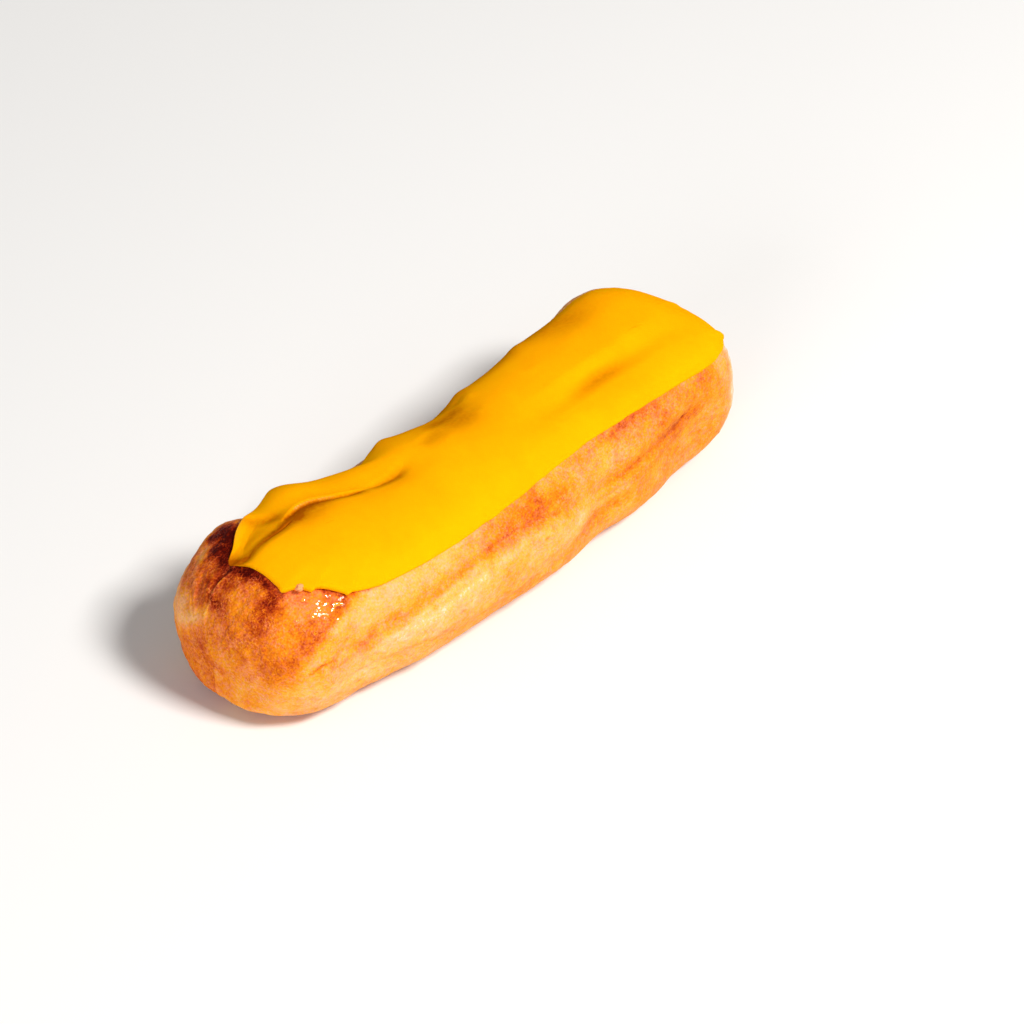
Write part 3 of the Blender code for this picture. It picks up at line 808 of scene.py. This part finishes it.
# %% Rows of the icing
PLAIN_LIP = 1.2  # width of the rounded edge
LIP_PARTS = [  # x, angle, half length of border, lip width
    (-53.0, -30.0, 7.0, 0.45),
    (-61.0, -15.0, 4.0, 0.35),
    (-58.0, 23.0, 5.0, 0.80),
    (65.0, 36.0, 4.0, 0.60),
]
UNDERCUT_SHARE = 0.3
LIP_WAIST_SHARE = 0.3
FILM = 0.10  # the sheet's top is nowhere less than this above the crust's lumps
SINK = 0.35  # the underside lies this far inside the crust, so that no light passes under it
TOP_ROWS = 112
LIP_ROWS = 11
UNDER_ROWS = 7
FREE_LIP = (-54.0, -28.5, 4.0, 2.4, 0.30)  # here the edge stands clear of the crust
FOLD_LINE = [(-46.0, -15.6), (-44.0, -17.8), (-41.5, -18.8), (-39.0, -17.8), (-36.0, -15.2), (-33.0, -12.2), (-30.5, -9.0)]
FOLD_PUSH = 0.2  # the left side leans over the crease by this much
FOLD_REACH = (2.5, 0.4)  # and the push fades out over these widths to the left and right


def fold_shift(points, above):
    """How the fold leans over: a push to the right that is full at the crease, and grows with the height."""
    across, share, right = beside_line(points, FOLD_LINE, lift=SHEET)
    away = np.clip(np.abs(across) / np.where(across < 0.0, *FOLD_REACH), 0.0, 1.0)
    push = FOLD_PUSH * (1.0 - smooth_step(away)) * ends_fade(share, 0.3) * above
    return right * push[..., None]


def icing_rows():
    """The sheet's points. Top rows run from the spine to the lip, lip rows turn round it, the rest run back.

    A row is a share of the way from the border to the spine, an inset over the lip's width, and a share of the
    height. The lip's section is
    a quarter of a superellipse from the top down to its outermost line, and then turns in under itself."""
    top = [(share, 1.0, 1.0) for share in np.linspace(1.0, 0.0, TOP_ROWS, endpoint=False)]
    turns = np.radians(np.linspace(0.0, 90.0, LIP_ROWS))
    lip = [(0.0, 1.0 - np.sin(t), LIP_WAIST_SHARE + (1.0 - LIP_WAIST_SHARE) * np.cos(t)) for t in turns]
    under = [(share, UNDERCUT_SHARE, 0.0) for share in np.linspace(0.0, 1.0, UNDER_ROWS) ** 1.5]
    return np.array(top + lip + under)


def along_border(plain, parts):
    """One value for each column: the plain one, blended into a part's own near its place on the border."""
    values = np.full(ICING_COLUMNS, plain)
    for at_x, at_angle, half_length, value in parts:
        squares = ((border - (at_x, at_angle * SIDE_SCALE)) ** 2).sum(axis=1)
        values += (value - plain) * np.exp(-squares / half_length**2)
    return values


rows = icing_rows()
length = np.linalg.norm(spine - border, axis=1)
inset = rows[:, 1, None] * along_border(PLAIN_LIP, LIP_PARTS)
travel = (inset + rows[:, 0, None] * (length - inset)) / length
place = border[None] + (spine - border)[None] * travel[..., None]
icing_x, icing_angle = place[..., 0], place[..., 1] / SIDE_SCALE
icing_skin, icing_out = skin(icing_x, icing_angle)
edge_distance = travel * length
edge_share = along_border(PLAIN_EDGE, EDGE_PARTS)

thickness = sheet_thickness(icing_skin, edge_distance, edge_share[None])
height_share = rows[:, 2, None]
crust_height = crust_relief(icing_x, icing_angle, icing_skin) - strokes(icing_skin, SEAMS)
lift = np.maximum(height_share * thickness + FREE_LIP[4] * laid_patch(icing_skin, *FREE_LIP[:4]), crust_height + FILM)
lift = np.where(height_share > 0.0, lift, np.minimum(crust_height, 0.0) - SINK)
icing_points = icing_skin + icing_out * lift[..., None]
icing_points += fold_shift(icing_skin, smooth_step(lift / SHEET))
print("icing thickness from", thickness.min().round(2), "to", thickness.max().round(2), "mm")

# %% The icing's mesh
fondant_material = bpy.data.materials.new("yellow_fondant_finish")
half = ICING_COLUMNS // 2


def fold_onto_spine(row):
    """Keep the first half of a row that lies flat on the spine, where both halves meet."""
    return row[: half + 1]


middle_block = icing_points[1:-1]
top_spine, under_spine = fold_onto_spine(icing_points[0]), fold_onto_spine(icing_points[-1])
icing_vertices = np.vstack([middle_block.reshape(-1, 3), top_spine, under_spine]) - origin
folded = np.minimum(column, ICING_COLUMNS - column)
inner_rows = len(rows) - 2


def spine_faces(row_start, spine_start_index):
    """Faces from a closed row to the folded row on the spine: triangles at its two ends, four sides between."""
    here, there = column, (column + 1) % ICING_COLUMNS
    faces = np.stack(
        [row_start + here, row_start + there, spine_start_index + folded[there], spine_start_index + folded[here]],
        axis=-1,
    )
    return faces


top_faces = spine_faces(0, inner_rows * ICING_COLUMNS)
under_faces = spine_faces((inner_rows - 1) * ICING_COLUMNS, inner_rows * ICING_COLUMNS + half + 1)[:, ::-1]
icing_faces = np.vstack([band_faces(inner_rows, ICING_COLUMNS)[:, ::-1], top_faces, under_faces]).tolist()
icing = new_piece("icing_sheet", icing_vertices, icing_faces, fondant_material)



THIN_AND_SHADE_LINES = [  # where the sheet is thin over the crust, and painted shade in its creases and on its far slope: as CREASES
    ([(-60.5, -10.5), (-57.0, -8.8), (-54.0, -8.6), (-51.0, -9.2), (-48.5, -9.8), (-46.0, -11.5), (-43.5, -14.0)],
     0.75, (2.4, 2.4), (2.0, 3.6), 1.7, 0.12),
    ([(-55.0, -8.6), (-51.0, -8.8), (-48.5, -9.8), (-46.0, -11.6)], 0.35, (0.5, 0.5), (0.6, 0.7), 1.5, 0.25),
    ([(-47.5, -14.0), (-45.5, -16.2), (-42.5, -18.8), (-39.5, -18.0), (-36.0, -15.2), (-33.0, -12.2),
      (-30.5, -9.0), (-27.5, -5.0)], 0.85, (0.3, 0.2), (5.6, 2.4), 1.9, 0.15),
    ([(-52.0, -34.0), (-48.5, -28.0), (-46.5, -24.0), (-44.5, -19.5)], 0.45, (2.2, 1.8), (3.0, 2.8), 1.6, 0.3),
    ([(-29.0, -8.5), (-27.0, -6.0), (-25.0, -5.0), (-23.0, -4.4), (-21.0, -4.5), (-18.0, -6.0)],
     0.45, (1.0, 2.0), (2.0, 2.2), 1.4, 0.3),
    ([(-13.0, -7.0), (-8.0, -10.5), (-5.0, -13.0)], 0.25, (2.0, 2.0), (2.0, 2.0), 2.0, 0.35),
    ([(-8.0, -21.0), (0.0, -21.0), (6.0, -22.0)], 0.45, (3.0, 3.0), (2.6, 2.6), 2.0, 0.3),
    ([(18.0, 12.0), (30.0, 12.0), (42.0, 13.0)], 0.38, (2.6, 2.6), (2.4, 2.4), 2.0, 0.45),
    ([(-20.0, -34.0), (0.0, -38.0), (20.0, -38.0), (44.0, -32.0)], 0.40, (5.0, 5.0), (5.0, 5.0), 1.8, 0.2),
]
# Thin film at the round end's tip, and painted shade on the crease's flank, on the far slope and in dents.
THIN_AND_SHADE_PATCHES = [  # x, angle, along, around, how much
    (-61.0, -15.5, 2.3, 3.4, 1.2),
    (-53.0, -20.0, 4.5, 3.0, 0.18),
    (-43.2, -8.8, 4.4, 3.2, 0.52),
    (-38.5, -10.5, 3.4, 2.6, 0.32),
    (-22.0, -2.0, 4.0, 3.0, 0.20),
    (40.0, -25.0, 8.0, 4.0, 0.38),
    (-46.5, -20.5, 2.6, 2.2, 0.32),
    (-2.0, -16.0, 8.0, 5.0, 0.22),
    (30.0, 30.0, 12.0, 5.0, 0.08),
    (30.0, 12.0, 5.0, 2.0, 0.12),
    (-50.0, -11.0, 3.0, 1.6, 0.25),
    (0.0, -10.0, 4.5, 2.8, 0.36),
]


def icing_field(values):
    """The field's values in the order of the icing's vertices: its closed rows, then its two folded rows."""
    return np.concatenate([values[1:-1].ravel(), fold_onto_spine(values[0]), fold_onto_spine(values[-1])])


amber = strokes(icing_skin, THIN_AND_SHADE_LINES) + sum(more * laid_patch(icing_skin, *spot) for *spot, more in THIN_AND_SHADE_PATCHES)
write_field(icing, "thin", icing_field(np.clip(amber, 0.0, 1.0)))
GLOSS_LINES = [  # where the sheet's rim or fold catches the light
    ([(-45.0, -17.8), (-42.0, -19.8), (-39.0, -19.0), (-36.0, -16.4), (-33.0, -13.4)],
     0.12, (0.4, 0.4), (0.4, 0.4), 1.6, 0.3),
    ([(-48.0, -38.0), (-53.0, -29.0), (-57.0, -23.5)], 0.6, (0.7, 0.7), (0.7, 0.7), 1.6, 0.2),
]
write_field(icing, "gloss", icing_field(np.clip(strokes(icing_skin, GLOSS_LINES), 0.0, 1.0)))
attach(icing, "root")
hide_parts("fondant_icing")
print("icing: volume and triangles", signed_volume(icing), "thin to", amber.max().round(2))

# %% [markdown]
# ## Syrup drops and a crumb
# Where the icing meets the crust at the round end, a little syrup has wept out. Each drop is a low cap, a
# function of a distance from its middle and a turn, pressed onto the skin; they are far too few and too wide
# for particles. A crumb of crust has stuck in the icing's edge.

# %% Drops
DROPS = [  # x, angle, radius, height over radius, how much longer than wide
    (-59.4, 23.8, 0.30, 0.30, 1.2),
    (-58.4, 24.6, 0.28, 0.26, 1.7),
    (-60.2, 27.0, 0.26, 0.34, 1.9),
    (-60.8, 29.4, 0.30, 0.34, 1.2),
    (-57.4, 28.2, 0.50, 0.22, 1.3),
    (-58.2, 29.6, 0.46, 0.24, 1.4),
    (-56.2, 28.6, 0.28, 0.22, 1.3),
    (-55.9, 32.4, 0.30, 0.20, 1.1),
    (-53.8, 33.8, 0.42, 0.18, 1.3),
    (-56.2, 36.6, 0.50, 0.16, 1.2),
    (-56.9, 38.0, 0.36, 0.16, 1.3),
    (-55.0, 38.2, 0.40, 0.14, 1.5),
    (-56.8, 39.8, 0.24, 0.18, 1.0),
    (-58.2, 40.4, 0.50, 0.18, 1.2),
    (-58.9, 41.6, 0.40, 0.20, 1.3),
    (-55.2, 43.6, 0.50, 0.13, 2.0),
    (-54.2, 42.8, 0.30, 0.16, 1.4),
    (-55.4, 46.4, 0.56, 0.14, 1.3),
    (-54.2, 45.4, 0.40, 0.14, 1.2),
    (-53.4, 41.0, 0.40, 0.14, 1.6),
    (-51.9, 42.8, 0.36, 0.16, 1.1),
    (-52.6, 41.6, 0.46, 0.14, 1.5),
    (-54.5, 50.0, 0.34, 0.18, 1.3),
    (-61.4, 38.4, 0.28, 0.30, 1.2),
]
DROP_RINGS = 8
DROP_POINTS = 24
DROP_SINK = 0.25


def drop_points(x, angle, radius, tall, longer, seed):
    """A cap on the skin: height h (1 - r^2)^0.7 over a wavy disc, sunk a little so that its rim is hidden."""
    centre, outward = skin(np.float64(x), np.float64(angle))
    ahead = unit(skin(np.float64(x + 0.05), np.float64(angle))[0] - centre)
    aside = np.cross(outward, ahead)
    turn_round = np.linspace(0.0, 2.0 * np.pi, DROP_POINTS, endpoint=False)[None, :]
    out = np.linspace(1.0, 0.0, DROP_RINGS)[:, None]
    phase = np.random.default_rng(seed).uniform(0.0, 2.0 * np.pi, 2)
    wavy = 1.0 + 0.14 * np.sin(2.0 * turn_round + phase[0]) + 0.09 * np.sin(3.0 * turn_round + phase[1])
    ahead_by = radius * longer * wavy * out * np.cos(turn_round)
    aside_by = radius * wavy * out * np.sin(turn_round)
    height = tall * radius * np.maximum(1.0 - out**2, 0.0) ** 0.7 - DROP_SINK
    height = np.broadcast_to(height, ahead_by.shape)
    return centre + ahead_by[..., None] * ahead + aside_by[..., None] * aside + height[..., None] * outward


def drop_mesh(number, drop):
    """Vertices and faces of one closed drop: its rings, a point on top and a point below."""
    block = drop_points(*drop, seed=60 + number)
    below = block[0].mean(axis=0) - 0.2 * skin(np.float64(drop[0]), np.float64(drop[1]))[1]
    vertices = np.vstack([block[:-1].reshape(-1, 3), block[-1, :1], below[None]])
    shift = number * len(vertices)
    top = (DROP_RINGS - 1) * DROP_POINTS
    faces = (band_faces(DROP_RINGS - 1, DROP_POINTS) + shift).tolist()
    faces += (cap_faces(top - DROP_POINTS, DROP_POINTS, top) + shift).tolist()
    faces += (cap_faces(0, DROP_POINTS, top + 1)[:, ::-1] + shift).tolist()
    return vertices, faces


syrup_material = bpy.data.materials.new("amber_syrup_finish")
made = [drop_mesh(number, drop) for number, drop in enumerate(DROPS)]
drops = new_piece(
    "syrup_drops",
    np.vstack([vertices for vertices, _ in made]) - origin,
    [face for _, faces in made for face in faces],
    syrup_material,
)
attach(drops, "root")
print("drops: volume and triangles", signed_volume(drops))

# %% The crumb
CRUMB_PLACE = (-57.4, 23.2, 1.0)  # x, angle, lift
CRUMB_SIZE = (1.0, 0.75, 0.7)
CRUMB_RINGS = 24


def crumb_points():
    """A ball whose radius is uneven: each direction's radius is 1 plus noise read at that direction."""
    centre, outward = skin(np.float64(CRUMB_PLACE[0]), np.float64(CRUMB_PLACE[1]))
    down = np.radians(np.linspace(0.0, 180.0, CRUMB_RINGS))[:, None]
    round_it = np.radians(np.linspace(0.0, 360.0, 2 * CRUMB_RINGS, endpoint=False))[None, :]
    way = np.stack(np.broadcast_arrays(np.sin(down) * np.cos(round_it), np.sin(down) * np.sin(round_it), np.cos(down)), -1)
    radius = 1.0 + 0.28 * soft_noise(way, 0.7, seed=71) + 0.10 * soft_noise(way, 0.25, seed=72)
    return centre + outward * CRUMB_PLACE[2] + way * radius[..., None] * CRUMB_SIZE


crumb_block = crumb_points() - origin
crumb_columns = 2 * CRUMB_RINGS
crumb_top = (CRUMB_RINGS - 2) * crumb_columns
crumb = new_piece(
    "crust_crumb",
    np.vstack([crumb_block[1:-1].reshape(-1, 3), crumb_block[0, :1], crumb_block[-1, :1]]),
    band_faces(CRUMB_RINGS - 2, crumb_columns)[:, ::-1].tolist()
    + cap_faces(0, crumb_columns, crumb_top).tolist()
    + cap_faces(crumb_top - crumb_columns, crumb_columns, crumb_top + 1)[:, ::-1].tolist(),
    crust_material,
)
write_field(crumb, "toast", np.full(crumb_top + 2, 0.35))
write_field(crumb, "blush", np.full(crumb_top + 2, 0.9))
write_field(crumb, "wet", np.full(crumb_top + 2, 0.3))
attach(crumb, "root")
print("crumb: volume and triangles", signed_volume(crumb))

# %% [markdown]
# ## Node helpers and a shared mottle
# Materials are graphs of nodes. A short helper adds a node and sets its sockets by name. Crust, icing and
# syrup are all a little uneven in colour, at their own sizes, so that unevenness is one node group: two
# octaves of noise in, one number around zero out.

# %% Node helpers
def add_node(tree, kind, settings=(), **sockets):
    """Add a node, set its properties, and set or link its input sockets, which are given by name."""
    node = tree.nodes.new(kind)
    for name, value in dict(settings).items():
        setattr(node, name, value)
    for name, value in sockets.items():
        socket = node.inputs[int(name[1:])] if name[0] == "n" and name[1:].isdigit() else node.inputs[name.replace("_", " ")]
        if isinstance(value, bpy.types.NodeSocket):
            tree.links.new(value, socket)
        else:
            socket.default_value = value
    return node


def math_node(tree, operation, *values):
    """One arithmetic step on numbers or sockets."""
    return add_node(tree, "ShaderNodeMath", {"operation": operation}, **{f"n{i}": v for i, v in enumerate(values)}).outputs[0]


def build_mottle_group():
    """Noise of a size in millimetres, less its mean, times a strength, read at Object coordinates."""
    group = bpy.data.node_groups.new("mottle", "ShaderNodeTree")
    for name, default in (("Size mm", 1.0), ("Strength", 0.1), ("Detail", 2.0)):
        group.interface.new_socket(name, in_out="INPUT", socket_type="NodeSocketFloat").default_value = default
    group.interface.new_socket("Offset", in_out="OUTPUT", socket_type="NodeSocketFloat")
    given = add_node(group, "NodeGroupInput").outputs
    place = add_node(group, "ShaderNodeTexCoord").outputs["Object"]
    scale = math_node(group, "DIVIDE", 1.0 / METRES, given["Size mm"])
    noise = add_node(group, "ShaderNodeTexNoise", Vector=place, Scale=scale, Detail=given["Detail"]).outputs["Fac"]
    offset = math_node(group, "MULTIPLY", math_node(group, "SUBTRACT", noise, 0.5), given["Strength"])
    result = add_node(group, "NodeGroupOutput")
    group.links.new(offset, result.inputs["Offset"])
    return group


mottle_group = build_mottle_group()


def mottle(tree, size, strength, detail=2.0):
    """Place the mottle group in a material with its own values."""
    node = tree.nodes.new("ShaderNodeGroup")
    node.node_tree = mottle_group
    for name, value in (("Size mm", size), ("Strength", strength), ("Detail", detail)):
        if isinstance(value, bpy.types.NodeSocket):
            tree.links.new(value, node.inputs[name])
        else:
            node.inputs[name].default_value = value
    return node.outputs["Offset"]


def field(tree, name):
    """Read one of the piece's own fields."""
    return add_node(tree, "ShaderNodeAttribute", {"attribute_name": name}).outputs["Fac"]


def ramp(tree, factor, stops):
    """A colour ramp through (place, colour) stops."""
    node = add_node(tree, "ShaderNodeValToRGB", Fac=factor)
    elements = node.color_ramp.elements
    while len(elements) < len(stops):
        elements.new(0.5)
    for element, (position, colour) in zip(elements, stops):
        element.position = position
        element.color = (*colour, 1.0)
    return node.outputs["Color"]


def fresh_shader(material):
    """Clear the material's graph down to a Principled shader and its output."""
    material.use_nodes = True
    tree = material.node_tree
    return tree, tree.nodes["Principled BSDF"]


def mix_colour(tree, factor, first, second):
    """A blend of two colours."""
    node = add_node(tree, "ShaderNodeMix", {"data_type": "RGBA", "clamp_factor": True}, Factor=factor)
    for socket, value in ((node.inputs[6], first), (node.inputs[7], second)):
        if isinstance(value, bpy.types.NodeSocket):
            tree.links.new(value, socket)
        else:
            socket.default_value = (*value, 1.0)
    return node.outputs[2]


print("group sockets:", [item.name for item in mottle_group.interface.items_tree])

# %% [markdown]
# ## The crust's finish
# Baked choux is matt to satin, and its colour comes from browning: cream, gold, orange, brown, nearly black.
# The field of browning and painted shade picks a place on a colour ramp, and mottles of three sizes push that
# place up and down, so that speckles are always the next darker or paler shade and never a foreign colour.

# %% Crust material
GOLDEN_SHADES = [
    (0.00, (0.84, 0.47, 0.130)),
    (0.15, (0.83, 0.40, 0.075)),
    (0.30, (0.82, 0.33, 0.028)),
    (0.42, (0.80, 0.262, 0.010)),
    (0.54, (0.73, 0.190, 0.005)),
    (0.66, (0.58, 0.112, 0.004)),
    (0.78, (0.38, 0.044, 0.003)),
    (0.90, (0.17, 0.009, 0.001)),
    (1.00, (0.055, 0.002, 0.001)),
]
ROSY_SHADES = [
    # The palest rosy stop is pale crust, and a painted highlight of glare where it shows at the blunt end's near rim.
    (0.00, (0.90, 0.60, 0.420)),
    (0.04, (0.86, 0.48, 0.260)),
    (0.15, (0.85, 0.42, 0.200)),
    (0.30, (0.84, 0.34, 0.140)),
    (0.42, (0.81, 0.268, 0.098)),
    (0.54, (0.75, 0.200, 0.066)),
    (0.66, (0.60, 0.122, 0.038)),
    (0.78, (0.40, 0.048, 0.013)),
    (0.90, (0.19, 0.011, 0.003)),
    (1.00, (0.065, 0.003, 0.0015)),
]

tree, shader = fresh_shader(crust_material)
level = field(tree, "toast")
for size, strength, detail in ((0.42, 0.44, 3.0), (1.2, 0.26, 2.0), (2.8, 0.30, 2.0), (6.5, 0.18, 1.0)):
    level = math_node(tree, "ADD", level, mottle(tree, size, strength, detail))
across_vein = math_node(tree, "ABSOLUTE", mottle(tree, 0.9, 1.0, 4.0))
vein = math_node(tree, "MAXIMUM", math_node(tree, "MULTIPLY_ADD", across_vein, -20.0, 1.0), 0.0)
vein = math_node(tree, "MULTIPLY", vein, math_node(tree, "MAXIMUM", math_node(tree, "ADD", mottle(tree, 2.2, 4.0), 0.6), 0.0))
vein_depth = math_node(tree, "MULTIPLY_ADD", field(tree, "toast"), 0.20, 0.02)
level = math_node(tree, "SUBTRACT", math_node(tree, "ADD", level, 0.02), math_node(tree, "MULTIPLY", vein, vein_depth))
hue = math_node(tree, "ADD", field(tree, "blush"), math_node(tree, "ADD", mottle(tree, 0.6, 4.0), mottle(tree, 3.2, 2.0)))
hue = math_node(tree, "MULTIPLY_ADD", vein, 0.30, hue)
shade = mix_colour(tree, hue, ramp(tree, level, GOLDEN_SHADES), ramp(tree, level, ROSY_SHADES))
tree.links.new(shade, shader.inputs["Base Color"])

wet = field(tree, "wet")
rough = math_node(tree, "ADD", 0.52, mottle(tree, 1.5, 0.25))
rough = math_node(tree, "MULTIPLY_ADD", wet, -0.22, rough)
tree.links.new(rough, shader.inputs["Roughness"])
beads = math_node(tree, "MAXIMUM", math_node(tree, "MULTIPLY_ADD", mottle(tree, 0.8, 1.0, 1.0), 12.0, -0.6), 0.0)
tree.links.new(math_node(tree, "MINIMUM", math_node(tree, "MULTIPLY", wet, beads), 1.0), shader.inputs["Coat Weight"])
shader.inputs["Coat Roughness"].default_value = 0.09
shader.inputs["Specular IOR Level"].default_value = 0.03
relief_height = math_node(tree, "ADD", mottle(tree, 0.6, 0.7, 2.0), mottle(tree, 1.5, 1.3, 1.0))
relief_height = math_node(tree, "MULTIPLY_ADD", vein, 0.10, relief_height)
bump = add_node(tree, "ShaderNodeBump", Strength=1.0, Distance=0.32 * METRES, Height=relief_height)
tree.links.new(bump.outputs["Normal"], shader.inputs["Normal"])
print("crust shades:", len(GOLDEN_SHADES) + len(ROSY_SHADES))

# %% [markdown]
# ## The icing's finish
# Poured fondant is smooth and satin, and light goes a little way into it, which warms its shadows. A strong
# yellow dye absorbs nearly all the blue. Subsurface light with a long red path gives the glow; a faint mottle
# keeps the sheet from looking like plastic.

# %% Fondant material
FONDANT_YELLOW = (0.98, 0.40, 0.001)
FONDANT_DEEP = (0.95, 0.35, 0.001)
FONDANT_THIN_AND_SHADE = (0.44, 0.10, 0.0008)

tree, shader = fresh_shader(fondant_material)
tone = math_node(tree, "ADD", 0.35, math_node(tree, "ADD", mottle(tree, 7.0, 1.2), mottle(tree, 1.2, 0.5)))
yellow = mix_colour(tree, tone, FONDANT_YELLOW, FONDANT_DEEP)
# The sheet turns amber where it is thin over the crust, and as painted shade in its creases and on its far slope.
thin = field(tree, "thin")
streaks = math_node(tree, "MULTIPLY", math_node(tree, "ADD", mottle(tree, 0.9, 2.2), 0.9), thin)
thin = math_node(tree, "MULTIPLY_ADD", streaks, 0.4, math_node(tree, "MULTIPLY", thin, 0.7))
tree.links.new(mix_colour(tree, thin, yellow, FONDANT_THIN_AND_SHADE), shader.inputs["Base Color"])
tree.links.new(math_node(tree, "ADD", 0.40, mottle(tree, 2.5, 0.2)), shader.inputs["Roughness"])
tree.links.new(field(tree, "gloss"), shader.inputs["Coat Weight"])
shader.inputs["Coat Roughness"].default_value = 0.22
shader.inputs["Specular IOR Level"].default_value = 0.0
shader.inputs["Subsurface Weight"].default_value = 0.20
shader.inputs["Subsurface Radius"].default_value = (1.0, 0.35, 0.03)
shader.inputs["Subsurface Scale"].default_value = 1.0 * METRES
relief_height = math_node(tree, "ADD", mottle(tree, 3.5, 1.0, 1.0), mottle(tree, 0.9, 0.15, 1.0))
bump = add_node(tree, "ShaderNodeBump", Strength=0.25, Distance=0.3 * METRES, Height=relief_height)
tree.links.new(bump.outputs["Normal"], shader.inputs["Normal"])
print("fondant:", FONDANT_YELLOW, "to", FONDANT_DEEP)

# %% Syrup material
tree, shader = fresh_shader(syrup_material)
amber = mix_colour(tree, math_node(tree, "ADD", 0.5, mottle(tree, 1.4, 1.8)), (0.92, 0.22, 0.008), (1.0, 0.38, 0.02))
tree.links.new(amber, shader.inputs["Base Color"])
shader.inputs["Roughness"].default_value = 0.08
shader.inputs["Coat Weight"].default_value = 1.0
shader.inputs["Coat Roughness"].default_value = 0.05
shader.inputs["Coat IOR"].default_value = 1.9
shader.inputs["Subsurface Weight"].default_value = 0.3
shader.inputs["Subsurface Radius"].default_value = (1.0, 0.5, 0.1)
shader.inputs["Subsurface Scale"].default_value = 0.8 * METRES

# %% [markdown]
# ## Floor, light and camera
# The eclair lies on a plain pale floor. A warm soft lamp stands to the right of the camera, a little in front
# and not high, so that furrows and wrinkles show; a pale sky fills the shadows. The camera looks down at
# forty degrees from the round end.

# %% Floor
FLOOR_SIZE = 3000.0
floor_mesh = bpy.data.meshes.new("pale_floor")
corner = FLOOR_SIZE / 2 * METRES
floor_mesh.from_pydata([(-corner, -corner, 0), (corner, -corner, 0), (corner, corner, 0), (-corner, corner, 0)], [], [(0, 1, 2, 3)])
floor = bpy.data.objects.new("pale_floor", floor_mesh)
bpy.context.scene.collection.objects.link(floor)
floor_material = bpy.data.materials.new("pale_floor_finish")
tree, shader = fresh_shader(floor_material)
shader.inputs["Base Color"].default_value = (0.86, 0.86, 0.86, 1.0)
shader.inputs["Roughness"].default_value = 0.8
floor_mesh.materials.append(floor_material)

# %% Camera
ELEVATION = 40.0
AZIMUTH = -47.36
DISTANCE = 900.0
LENS = 154.7
SENSOR = 36.0
AIM = (0.0, 0.0, 16.0)  # before the origin is moved to the frame's
AIM_RIGHT = 7.8  # the picture's middle lies this far right of and below the aim
AIM_UP = -4.8

turned, raised = np.radians(AZIMUTH), np.radians(ELEVATION)
toward = np.array([np.sin(turned) * np.cos(raised), -np.cos(turned) * np.cos(raised), np.sin(raised)])
rightward = np.array([np.cos(turned), np.sin(turned), 0.0])
upward = np.cross(toward, rightward)
aim = np.array(AIM) - origin + rightward * AIM_RIGHT + upward * AIM_UP
camera_data = bpy.data.cameras.new("camera")
camera_data.lens = LENS
camera_data.sensor_width = SENSOR
camera_data.clip_start = 0.01
camera = bpy.data.objects.new("camera", camera_data)
camera.location = (aim + toward * DISTANCE) * METRES
camera.rotation_mode = "QUATERNION"
camera.rotation_quaternion = Vector(-toward).to_track_quat("-Z", "Y")
bpy.context.scene.collection.objects.link(camera)
bpy.context.scene.camera = camera
print("camera at", [round(value, 3) for value in camera.location])

# %% Light
front = np.array([np.sin(turned), -np.cos(turned), 0.0])


def add_lamp(name, right, near, up, distance, size, power, colour):
    """A square soft lamp that looks at the eclair from a direction given as the camera sees it."""
    way = unit(rightward * right + front * near + np.array([0.0, 0.0, up]))
    data = bpy.data.lights.new(name, "AREA")
    data.size = size * METRES
    data.energy = power
    data.color = colour
    lamp = bpy.data.objects.new(name, data)
    lamp.location = way * distance * METRES
    lamp.rotation_mode = "QUATERNION"
    lamp.rotation_quaternion = Vector(-way).to_track_quat("-Z", "Y")
    bpy.context.scene.collection.objects.link(lamp)


add_lamp("key", 0.58, 0.30, 0.79, 1300.0, 340.0, 19.5, (1.0, 0.97, 0.93))
add_lamp("fill", -0.45, 0.90, 0.20, 1500.0, 900.0, 14.0, (1.0, 1.0, 1.0))
world = bpy.data.worlds.new("pale_room")
bpy.context.scene.world = world
world.use_nodes = True
world.node_tree.nodes["Background"].inputs["Color"].default_value = (1.0, 1.0, 1.0, 1.0)
world.node_tree.nodes["Background"].inputs["Strength"].default_value = 0.22
bpy.context.scene.view_settings.view_transform = "Standard"
